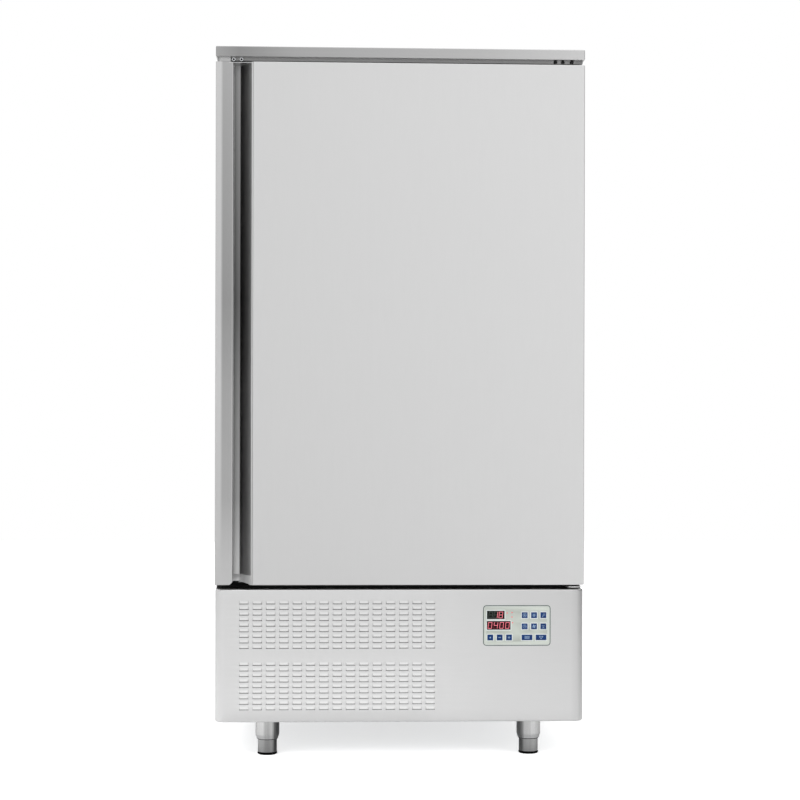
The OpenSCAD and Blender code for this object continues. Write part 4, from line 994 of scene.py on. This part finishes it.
def segmentPlaces(figureX, figureZ):
    d = display
    w, h = d["figureWidth"] / 2, d["figureHeight"] / 2
    flat = {"a": (0, h), "g": (0, 0), "d": (0, -h)}
    tall = {"f": (-w, h / 2), "b": (w, h / 2), "e": (-w, -h / 2), "c": (w, -h / 2)}
    places = {}
    for letter, (x, z) in {**flat, **tall}.items():
        places[letter] = (figureX + x + d["lean"] * z, figureZ + z, letter in tall)
    return places


# a six-sided bar, pointed at both ends
def addSegment(name):
    d = display
    clearChoice()
    bpy.ops.mesh.primitive_circle_add(vertices=6, radius=d["thick"] / math.sqrt(3), fill_type="NGON",
            rotation=(math.pi / 2, 0, 0))
    bar = nameNew(name)
    bakePlace(bar)
    edit(bar)
    stretch = (d["figureWidth"] - d["thick"] - d["between"]) / 2
    # two opposite corners come to lie left and right before the bar is stretched
    selectAll()
    bpy.ops.transform.rotate(value=math.pi / 2, orient_axis="Y", center_override=(0, 0, 0))
    for way in (-1, 1):
        pick(bar, "VERT", lambda point: point.co.x * way > 0.05)
        move((way * stretch, 0, 0))
    selectAll()
    extrude((0, -d["proud"], 0))
    outward()
    leave()
    return bar


def makeDisplays():
    c, d = control, display
    bar = addSegment("segment")
    inks = {"segmentsLit": litSegment, "segmentsOff": ghostInk, "segmentsOffLower": ghostRed}
    groups = {group: [] for group in inks}
    slant = (0, math.pi / 2 + math.atan(d["lean"]), 0)
    for row, (word, pitch) in enumerate(((d["upper"], d["pitch"]), (d["lower"], d["lowerPitch"]))):
        dx, dz = c["displays"][row][0]
        for i, figure in enumerate(word):
            at = c["x"] + dx + (i - (len(word) - 1) / 2) * pitch
            for letter, (x, z, upright) in segmentPlaces(at, c["z"] + dz).items():
                isLit = letter in figures[figure]
                group = "segmentsLit" if isLit else ("segmentsOff", "segmentsOffLower")[row]
                groups[group].append(copyPiece(bar, f"segment{row}{i}{letter}", (x, d["lensFront"], z),
                        slant if upright else None))
    bpy.data.objects.remove(bar)
    for group, ink in inks.items():
        finishPiece(join(group, groups[group]), ink, "cabinet", "display_lens")
    marks = [addBar(f"mark{i}", (c["x"] + x, c["z"] + z), c["markSize"], c["overlayFront"], d["markProud"])
            for i, (x, z) in enumerate(c["marks"])]
    finishPiece(join("indicatorMarks", marks), markLight, "cabinet", "overlay_film")
    for i, ((dx, dz), size) in enumerate(c["displays"]):
        lens = addBlock(f"lens{i}", (c["x"] + dx - size[0] / 2, d["lensFront"], c["z"] + dz - size[1] / 2),
                (c["x"] + dx + size[0] / 2, d["lensBack"], c["z"] + dz + size[1] / 2))
        edit(lens)
        bevelEdges(lens, lambda edge: along(edge, 1), d["lensRound"], 2)
        pick(lens, "FACE", on(1, d["lensFront"]))
        inset(d["lensRound"])
        leave()
        finishPiece(lens, (lensPlastic, redLens)[i], "cabinet", "display_lens", "display_windows")


# what each key shows: simple signs that many machines use
def keyIcon(name, x, z):
    k = keys
    y, up, line = k["front"], k["iconProud"], k["line"]
    bar = lambda i, dx, dz, w, h, turn=0: addBar(f"{name}Icon{i}", (x + dx, z + dz), (w, h), y, up,
            math.radians(turn))
    arc = lambda i, dx, dz, r, start=0, sweep=360, w=line: addArc(f"{name}Icon{i}", (x + dx, z + dz), r, w,
            y, up, start, sweep)
    dot = lambda i, dx, dz, r: addDot(f"{name}Icon{i}", (x + dx, z + dz), r, y, up)
    signs = {
        "key_set": lambda: [dot(0, 0, 0, 1.7)],
        "key_minus": lambda: [bar(0, 0, 0, 5.2, 1.4)],
        "key_plus": lambda: [bar(0, 0, 0, 5.2, 1.4), bar(1, 0, 0, 1.4, 5.2)],
        "key_chill": lambda: [arc(0, 0, 0, 3.9), bar(1, 0, 0, 5.4, line), bar(2, 0, 0, 5.4, line, 60),
                              bar(3, 0, 0, 5.4, line, -60)],
        "key_freeze": lambda: [bar(i, 0, 0, 8.6, line, 60 * i) for i in range(3)] + [arc(3, 0, 0, 2.3)],
        "key_probe": lambda: [arc(0, 1.2, 0.8, 2.2, -60, 210), bar(1, -1.0, -1.4, 1.2, 5.4, 20)],
        "key_timer": lambda: [arc(0, 0, 0, 3.7), bar(1, 0, 1.2, 1.0, 2.6), bar(2, 1.0, 0, 2.4, 1.0)],
        "key_fan": lambda: [dot(4, 0, 0, 0.9)] + [
            dot(i, 2.4 * math.cos(i * math.pi / 2 + 0.5), 2.4 * math.sin(i * math.pi / 2 + 0.5), 1.5)
            for i in range(4)],
        "key_defrost": lambda: [arc(0, 0, -0.6, 3.0, 10, 160), dot(1, 0, -1.6, 1.1), bar(2, 0, -3.6, 6, 0.9)],
        "key_cycle": lambda: [bar(i, 0, 2.3 * (i - 1), 11, 1.1) for i in range(3)],
        "key_start": lambda: [bar(0, 0, 2.6, 8.4, 1.1)] + [
            bar(i, 2.1 * side, -0.4, 7.2, 1.1, -55 * side) for i, side in ((1, -1), (2, 1))],
    }
    return join(f"{name}Icon", signs[name]())


def makeKeys():
    c, k = control, keys
    for name, (dx, dz) in k["places"].items():
        size = keySize(name)
        x, z = c["x"] + dx, c["z"] + dz
        cap = addBlock(f"{name}Cap", (x - size[0] / 2, k["front"] + k["crown"], z - size[1] / 2),
                (x + size[0] / 2, k["front"] + k["depth"], z + size[1] / 2))
        edit(cap)
        bevelEdges(cap, lambda edge: along(edge, 1), k["round"], 3)
        pick(cap, "FACE", on(1, k["front"] + k["crown"]))
        inset(k["crownIn"] / 2)
        move((0, -k["crown"] * 0.7, 0))
        inset(k["crownIn"] / 2)
        move((0, -k["crown"] * 0.3, 0))
        leave()
        finishPiece(cap, keyPlastic, f"{name}_cap", "key_moulding", name)
        finishPiece(keyIcon(name, x, z), iconInk, f"{name}_cap", "key_moulding")


makeRim()
makeDisplays()
makeKeys()
print("control panel made")


# ---- feet: a steel cup on a black pad, screwed into a stepped sleeve
foot = {"radius": 21, "wall": 2, "padShow": 5.2, "top": 60, "stud": 8, "studTop": 76.2,
        "x": 288, "y": 327.5}
sleeve = {"radius": 26.2, "mouth": 23.4, "low": 35, "taper": 9, "top": 79.2, "wall": 1.5, "lipRadius": 21.8,
        "plate": 70, "plateLow": 78.2, "plateThick": 3, "plateRound": 8, "boreGap": 0.4, "threadGap": 0.3,
        "boss": 12, "bossLow": 45}


def makeFeet():
    f, s = foot, sleeve
    r, show, top, stud, tip = f["radius"], f["padShow"], f["top"], f["stud"], f["studTop"]
    inner = r - f["wall"]
    cup = turnPiece("footCup", (0, 0, 0), [
        (inner, show), (r - 0.7, show), (r, show + 0.7), (r, top - 0.8), (r - 0.8, top), (inner, top),
        (inner, 20), (stud + 1, 20), (stud, 21), (stud, tip - 1), (stud - 1, tip), (0.01, tip), (0.01, 16),
        (inner, 16), (inner, show)], 56)
    pad = turnPiece("footPad", (0, 0, 0), [
        (0.01, 0), (r - 2.6, 0), (r - 0.6, 0.8), (r + 0.9, 2.6), (r + 0.9, 4.2), (r + 0.3, show),
        (r - 2.4, show), (r - 2.4, 15), (0.01, 15)], 56)
    outer, lip, low = s["radius"], s["lipRadius"], s["low"]
    thin, shoulder = outer - s["wall"], low + s["taper"]
    tube = turnPiece("legSleeve", (0, 0, 0), [
        (lip, low + 0.4), (lip + 0.5, low), (s["mouth"] - 0.4, low), (s["mouth"], low + 0.5),
        (outer - 0.5, shoulder - 1.2), (outer, shoulder + 0.4), (outer, s["top"]), (thin, s["top"]),
        (thin, shoulder + 1), (lip + 0.2, low + 2), (lip, low + 0.4)], 56)
    # a dark rubber ring under the sleeve, round the cup, stands in for the shade under the sleeve's lower
    # end: painted shade
    seal = turnPiece("legSeal", (0, 0, low), [
        (r + 0.05, 0.6), (r + 1.4, 0.6), (r + 1.6, -0.4), (r + 1.3, -1.5), (r + 0.4, -1.8),
        (r + 0.05, -1.4), (r + 0.05, 0.6)], 40)
    plate = addBlock("legPlate", (-s["plate"] / 2, -s["plate"] / 2, s["plateLow"]),
            (s["plate"] / 2, s["plate"] / 2, s["plateLow"] + s["plateThick"]))
    edit(plate)
    bevelEdges(plate, lambda edge: along(edge, 2), s["plateRound"], 4)
    leave()
    roundEdges(plate, 0.5)
    # the stud passes through the plate when the foot is screwed in
    bore = stud + s["boreGap"]
    cutWith(plate, turnPiece("studBore", (0, 0, s["plateLow"] - 1), [(0, 0), (bore, 0), (bore, 6), (0, 6)],
            32))
    boss = turnPiece("legBoss", (0, 0, 0), [
        (s["boss"], s["plateLow"]), (s["boss"], s["bossLow"] + 1), (s["boss"] - 1, s["bossLow"]),
        (stud + s["threadGap"], s["bossLow"]), (stud + s["threadGap"], s["plateLow"])], 32)
    for side, sx in (("left", -1), ("right", 1)):
        for row, sy in (("front", -1), ("rear", 1)):
            name = f"foot_{row}_{side}"
            body = name + "_body"
            step = (sx * f["x"], sy * f["y"], 0)
            ends = f"{row.title()}{side.title()}"
            finishPiece(copyPiece(cup, "footCup" + ends, step), footSteel, body, "foot_steel", name)
            finishPiece(copyPiece(pad, "footPad" + ends, step), recessPlastic, body, "foot_steel", name)
            finishPiece(copyPiece(tube, "legSleeve" + ends, step), footSteel, "cabinet", "foot_steel",
                    "leg_sleeves")
            finishPiece(copyPiece(seal, "legSeal" + ends, step), gasketRubber, "cabinet", "gasket_rubber")
            both = [copyPiece(plate, "plateCopy", step), copyPiece(boss, "bossCopy", step)]
            finishPiece(join("legPlate" + ends, both), innerSteel, "cabinet", "foot_steel", "leg_sleeves")
    for piece in (cup, pad, tube, seal, plate, boss):
        bpy.data.objects.remove(piece)


makeFeet()
print("feet made")


# ---- hinges, screws and the cabinet's outer sheets
# three bolts hold the hinge plate under the cover, a small plate closes the same holes on the
# other side, and the cover's own sheet ends in a hem
capBolts = {"xs": (336.5, 352.5, 372), "y": -399, "top": 1517.9, "low": 1511.2, "radius": 4}
blankPlate = {"low": (-393, -397.5, 1508.2), "high": (-368, -376, 1517.9)}
coverHem = {"low": (-366, -397, 1510.3), "high": (396, -395.8, 1518)}
screw = {"shank": 1.9, "shankLong": 6, "cross": (3.6, 0.9), "crossDeep": 1.1}
# each next screw is turned a little further, as screws are
screwRows = {
    "rearScrews": {"xs": (-375, -200, 0, 200, 375), "zs": (392, 1502.5, 95, 360), "face": 404.5,
                   "radius": 4, "proud": 2, "next": 0.4, "facing": 0},
    "hingeScrews": {"xs": (354, 337), "zs": (1512.9,), "face": -342.5,
                    "radius": 3.1, "proud": 1.5, "next": 0.5, "facing": math.pi},
}


# a pan-head screw with a cross recess, its head towards +Y
def addScrew(name, radius, proud):
    s = screw
    head = turnPiece(name, (0, 0, 0), [
        (0.01, -s["shankLong"]), (s["shank"] * 0.8, -s["shankLong"]), (s["shank"], -s["shankLong"] + 0.6),
        (s["shank"], 0), (radius, 0), (radius, proud * 0.45), (radius * 0.86, proud * 0.85),
        (radius * 0.5, proud), (0.01, proud)], 24, alongY=True)
    reach, width = s["cross"][0] * radius / 4, s["cross"][1] * radius / 4
    for turn in (0, math.pi / 2):
        cutter = addBlock("crossCutter", (-reach, proud - s["crossDeep"], -width / 2),
                (reach, proud + 1, width / 2))
        cutter.rotation_euler = (0, turn, 0)
        bakePlace(cutter)
        cutWith(head, cutter)
    return head


def makeScrews():
    for name, look in screwRows.items():
        model = addScrew("screwModel", look["radius"], look["proud"])
        spots = [(x, look["face"], z) for x in look["xs"] for z in look["zs"]]
        row = [copyPiece(model, f"{name}{i}", spot, (0, look["next"] * i, look["facing"]))
               for i, spot in enumerate(spots)]
        finishPiece(join(name, row), screwSteel, "cabinet", "screw_steel", "panel_screws")
        bpy.data.objects.remove(model)
    b = capBolts
    r, long = b["radius"], b["top"] - b["low"]
    bolts = [turnPiece(f"capBolt{i}", (x, b["y"], b["low"]), [
        (0, 0), (r - 0.9, 0), (r, 0.9), (r, 4), (r - 0.8, 4.8), (r - 1.6, 4.8), (r - 1.6, long),
        (0, long)], 20)
        for i, x in enumerate(b["xs"])]
    finishPiece(join("capBolts", bolts), blackPlastic, "cabinet", "black_moulding")
    plate = addBlock("blankPlate", blankPlate["low"], blankPlate["high"])
    roundEdges(plate, 0.8)
    finishPiece(plate, hemSteel, "cabinet", "stainless_outer")
    # the cover's front is folded back on itself and ends in a narrow hem
    hem = addBlock("coverHem", coverHem["low"], coverHem["high"])
    roundEdges(hem, 0.4)
    finishPiece(hem, hemSteel, "cabinet", "stainless_outer")


outerSheets = {
    # node: (piece, edge round, finish, slot)
    "hinge_brackets": ("hingeBrackets", 0.5, innerSteel, "stainless_inner"),
    "side_panel_left": ("sidePanelLeft", 0.5, sideSteel, "stainless_outer"),
    "side_panel_right": ("sidePanelRight", 0.5, sideSteel, "stainless_outer"),
    "rear_panel": ("rearPanel", 0.4, zincSheet, "galvanised_sheet"),
    "rear_grille": ("rearGrille", 0.4, zincSheet, "galvanised_sheet"),
    "front_frame": ("frontFrame", 0.8, innerSteel, "stainless_inner"),
    "fan_panel": ("fanPanel", 0, innerSteel, "stainless_inner"),
    "tray_racks": ("trayRacks", 0.4, innerSteel, "stainless_inner"),
    "drip_tray": ("dripTray", 0.4, innerSteel, "stainless_inner"),
    "base_pan": ("basePan", 0.5, zincSheet, "galvanised_sheet"),
    "door_liner": ("doorLiner", 0.5, innerSteel, "stainless_inner"),
    "electrical_box": ("electricalBox", 1.2, powderCoat, "black_chassis"),
}


def makeOuterSheets():
    for node, (name, edge, finish, slot) in outerSheets.items():
        piece = nodeCopy(node, name)
        if edge:
            roundEdges(piece, edge, segments=2, angle=40)
        finishPiece(piece, finish, "door" if node.startswith("door") else "cabinet", slot, node, angle=20)


makeScrews()
makeOuterSheets()
print("hinges, screws and sheets made")


# ---- inside the chamber
liner = {"low": (-340, -336.5, 437), "high": (340, 347.5, 1457.5), "round": 14, "sheet": 1}


# one folded tub with coved corners, open at the front
def makeLiner():
    tub = addBlock("innerLiner", liner["low"], liner["high"])
    edit(tub)
    dropFaces(tub, on(1, liner["low"][1]))
    bevelEdges(tub, isFold, liner["round"], 6)
    selectAll()
    bpy.ops.mesh.flip_normals()
    leave()
    thicken(tub, liner["sheet"])
    finishPiece(tub, innerSteel, "cabinet", "stainless_inner", "inner_liner")


gasket = {"width": 20, "base": 1.4, "neck": 3.0, "bead": 3.2, "waist": 3.2, "round": 1.3}


# a bellows gasket: a flat foot, a waist that gives, and a rounded bead that meets the frame
def makeGasket():
    low, high = boxOf("door_gasket")
    g = gasket
    seal = addSheet("doorGasket", (low.x, low.z), (high.x, high.z), low.y)
    edit(seal)
    selectAll()
    inset(g["width"])
    bpy.ops.mesh.delete(type="FACE")
    for depth in (g["base"], g["neck"], g["bead"]):
        reach = max(point.co.y for point in bmesh.from_edit_mesh(seal.data).verts)
        pick(seal, "FACE", lambda face: lies(face, 1, reach) and abs(face.normal.y) > 0.9)
        extrude((0, depth, 0))
    reach = max(point.co.y for point in bmesh.from_edit_mesh(seal.data).verts)
    outward()
    waistLow = low.y + g["base"]
    pick(seal, "EDGE", lambda edge: along(edge, 1) and min(p.co.y for p in edge.verts) > waistLow - 0.1
         and max(p.co.y for p in edge.verts) < waistLow + g["neck"] + 0.1)
    bpy.ops.mesh.subdivide(number_cuts=1)
    pick(seal, "VERT", lambda point: lies(point, 1, waistLow + g["neck"] / 2, 0.2))
    bpy.ops.transform.shrink_fatten(value=-g["waist"])
    bevelEdges(seal, lambda edge: isFold(edge, 0.8) and lies(edge, 1, reach), g["round"], 3)
    leave()
    finishPiece(seal, gasketRubber, "door", "gasket_rubber", "door_gasket")


rotor = {"blades": 5, "hub": 34, "tip": 121, "chord": 74, "pitch": 30, "twist": 16, "sheet": 2.2}
condenserRotor = {"blades": 5, "hub": 30, "tip": 102, "chord": 66, "pitch": 31, "twist": 16, "sheet": 2.2}
fans = {
    # node: (piece, body, x and z of the axis, look)
    "evap_fan_upper": ("evaporatorFanUpper", "upper_evaporator_fan", 0, 1192.25, rotor),
    "evap_fan_lower": ("evaporatorFanLower", "lower_evaporator_fan", 0, 702.25, rotor),
    "condenser_fan": ("condenserFanRotor", "condenser_fan_rotor", -145, 227.85, condenserRotor),
}


# an axial fan: a turned hub and blades that are steeper at the root than at the tip
def makeRotor(node, name, body, x, z, look):
    low, high = boxOf(node)
    middle = Vector((x, (low.y + high.y) / 2, z))
    half = (high.y - low.y) / 2
    r = look["hub"]
    parts = [turnPiece(name + "Hub", (0, 0, 0), [
        (0.01, -half + 1), (r * 0.5, -half + 1.4), (r * 0.85, -half + 3), (r, -half + 7), (r, half - 5),
        (r - 2, half - 4), (r - 3, half - 10), (0.01, half - 10)], 32, alongY=True)]
    clearChoice()
    long = look["tip"] - r + 4
    bpy.ops.mesh.primitive_grid_add(x_subdivisions=7, y_subdivisions=6, size=1,
            location=(r - 4 + long / 2, 0, 0), rotation=(math.pi / 2, 0, 0))
    blade = nameNew(name + "Blade")
    blade.scale = (long, look["chord"], 1)
    bakePlace(blade)
    edit(blade)
    columns = sorted({round(point.co.x, 2) for point in bmesh.from_edit_mesh(blade.data).verts})
    for x in columns:
        share = (x - columns[0]) / (columns[-1] - columns[0])
        pick(blade, "VERT", lambda point: lies(point, 0, x, 0.05))
        # a blade widens towards its tip and leans back as it turns
        wide = 0.62 + 0.38 * math.sin(share * math.pi * 0.62)
        bpy.ops.transform.resize(value=(1, 1, wide), center_override=(x, 0, 0))
        move((0, 0, -10 * share * share))
        bpy.ops.transform.rotate(value=math.radians(90 - look["pitch"] - look["twist"] * (0.5 - share)),
                orient_axis="X", center_override=(x, 0, 0))
    selectAll()
    bpy.ops.transform.rotate(value=math.pi / 2, orient_axis="X", center_override=(0, 0, 0))
    leave()
    thicken(blade, look["sheet"], offset=0)
    for i in range(look["blades"]):
        parts.append(copyPiece(blade, f"{name}Blade{i}", (0, 0, 0), (0, math.tau * i / look["blades"], 0)))
    bpy.data.objects.remove(blade)
    fan = join(name, parts)
    fan.location = middle
    bakePlace(fan)
    # keep the blades inside the depth that the rotor has
    edit(fan)
    reach = max(abs(point.co.y - middle.y) for point in bmesh.from_edit_mesh(fan.data).verts)
    selectAll()
    bpy.ops.transform.resize(value=(1, min(1, (half - 0.3) / reach), 1), center_override=middle)
    leave()
    finishPiece(fan, fanPlastic, body, "fan_moulding", node)


def makeRolledRings():
    low = boxOf("fan_panel")[0]
    for name, fan in (("Upper", "evap_fan_upper"), ("Lower", "evap_fan_lower")):
        # the sheet is rolled back round each fan's opening
        ring = turnPiece("fanOpening" + name, (0, low.y, fans[fan][3]), [
            (130.5, 0.2), (129.6, 0.1), (128.7, 0.9), (128.6, 4), (128.6, 9), (129.7, 9), (129.8, 4),
            (130.0, 1.6), (130.5, 1.3), (130.5, 0.2)], 64, alongY=True)
        finishPiece(ring, innerSteel, "cabinet", "stainless_inner")


mount = {"radius": 13, "waist": 9.5, "low": 82.7, "high": 98.7}


def makeMounts():
    low, high = boxOf("compressor_mounts")
    r, waist, start, end = mount["radius"], mount["waist"], mount["low"], mount["high"]
    model = turnPiece("mountModel", (0, 0, 0), [
        (4, start), (r - 1, start), (r, start + 1), (r, start + 4.5), (waist, start + 7), (waist, end - 7),
        (r, end - 4.5), (r, end - 1), (r - 1, end), (4, end), (4, start)], 32)
    spots = [(x, y) for x in (low.x + r + 1, high.x - r - 1) for y in (low.y + r + 1, high.y - r - 1)]
    pieces = [copyPiece(model, f"mount{i}", (x, y, 0)) for i, (x, y) in enumerate(spots)]
    bpy.data.objects.remove(model)
    finishPiece(join("compressorMounts", pieces), gasketRubber, "cabinet", "gasket_rubber",
            "compressor_mounts")


makeLiner()
makeGasket()
for node, fan in fans.items():
    makeRotor(node, *fan)
makeRolledRings()
makeMounts()
print("chamber and fans made")

# ---- the rest keeps its CAD shape and gets its real finish
finishes = {
    "cabinet_foam": polyFoam, "deck_plate": zincSheet,
    "corner_posts": powderCoat, "condenser_shroud": powderCoat, "door_bushes": blackPlastic,
    "cable_gland": blackPlastic, "evaporating_tray": blackPlastic, "compressor": blackEnamel,
    "liquid_receiver": blackEnamel, "condenser_coil": coilFins, "evaporator_coil": coilFins,
    "refrigerant_pipes": copper, "condenser_fan_motor": greyEnamel, "evap_fan_motors": greyEnamel,
    "fan_guards": chromeWire, "control_board": circuitBoard,
}
for node, finish in finishes.items():
    dressNode(node, finish)
print("finishes set")


# ---- studio: pale floor, white surroundings, soft lamps
studio = {"floorSize": 16, "floorGlow": 0.62, "floorMirror": 0.1, "worldSoft": 0.56, "ahead": 0.90,
        "left": 0.75, "right": 0.3, "up": 1.2}
lamps = {
    "keyLamp": {"place": (-2.6, -4.2, 3.4), "size": 3.2, "power": 105},
    "fillLamp": {"place": (3.2, -3.6, 2.2), "size": 3.0, "power": 45},
    "backLamp": {"place": (0.5, 3.6, 3.0), "size": 3.0, "power": 60},
}


def makeFloor():
    clearChoice()
    bpy.ops.mesh.primitive_plane_add(size=studio["floorSize"], location=(0, 0, 0))
    floor = nameNew("studioFloor")
    material, place = newMaterial("matt_white_floor")
    path = addNode(material, "LightPath")
    fleck = addNode(material, "TexNoise", {"Scale": 60, "Detail": 2}, {"Vector": place})
    colour = addBand(material, fleck, (0.3, "#F2"), (0.7, "#F5"))
    paint = addNode(material, "BsdfDiffuse", {"Roughness": 0.6}, {"Color": colour})
    seen = addNode(material, "Math", {"operation": "MULTIPLY", 1: studio["floorGlow"]},
            {0: (path, "Is Camera Ray")})
    level = addNode(material, "Math", {"operation": "MULTIPLY_ADD", 1: studio["floorMirror"]},
            {0: (path, "Is Glossy Ray"), 2: seen})
    glow = addNode(material, "Emission", {}, {"Strength": level})
    both = addNode(material, "AddShader", {}, {0: paint, 1: glow})
    addNode(material, "OutputMaterial", {}, {"Surface": both})
    floor.data.materials.append(material)


# white where the camera looks; for reflections, bright ahead and above and softer at the sides
def makeWorld():
    world = bpy.data.worlds.new("studioWorld")
    bpy.context.scene.world = world
    world.use_nodes = True
    world.node_tree.nodes.clear()
    path = addNode(world, "LightPath")
    place = addNode(world, "TexCoord")
    way = addNode(world, "SeparateXYZ", {}, {"Vector": (place, "Generated")})

    def blend(axis, start, end, low=0, high=1):
        return addNode(world, "MapRange", {"interpolation_type": "SMOOTHSTEP", "From Min": start,
                "From Max": end, "To Min": low, "To Max": high}, {"Value": (way, axis)})

    side = blend(0, -0.5, 0.5, studio["left"], studio["right"])
    front = blend(1, -0.1, -0.9)
    ahead = addNode(world, "Mix", {"data_type": "FLOAT", "B": studio["ahead"]}, {"Factor": front, "A": side})
    above = blend(2, 0.15, 0.8, 0, studio["up"])
    mirror = addNode(world, "Math", {"operation": "MAXIMUM"}, {0: ahead, 1: above})
    glossy = addNode(world, "Mix", {"data_type": "FLOAT", "A": studio["worldSoft"]},
            {"Factor": (path, "Is Glossy Ray"), "B": mirror})
    through = addNode(world, "Math", {"operation": "MAXIMUM"}, {0: (path, "Is Camera Ray"),
            1: (path, "Is Transmission Ray")})
    level = addNode(world, "Mix", {"data_type": "FLOAT", "B": 1.0}, {"Factor": through, "A": glossy})
    back = addNode(world, "Background", {"Color": (1, 1, 1, 1)}, {"Strength": level})
    addNode(world, "OutputWorld", {}, {"Surface": back})


def makeLamps():
    for name, look in lamps.items():
        light = bpy.data.lights.new(name, "AREA")
        light.shape = "SQUARE"
        light.size = look["size"]
        light.energy = look["power"]
        lamp = bpy.data.objects.new(name, light)
        bpy.context.scene.collection.objects.link(lamp)
        lamp.location = look["place"]
        aim = Vector((0, 0, 0.8)) - Vector(look["place"])
        lamp.rotation_euler = aim.to_track_quat("-Z", "Y").to_euler()
        lamp.visible_glossy = False
        lamp.visible_camera = False


makeFloor()
makeWorld()
makeLamps()
bpy.context.scene.view_settings.view_transform = "Standard"
print("studio made")
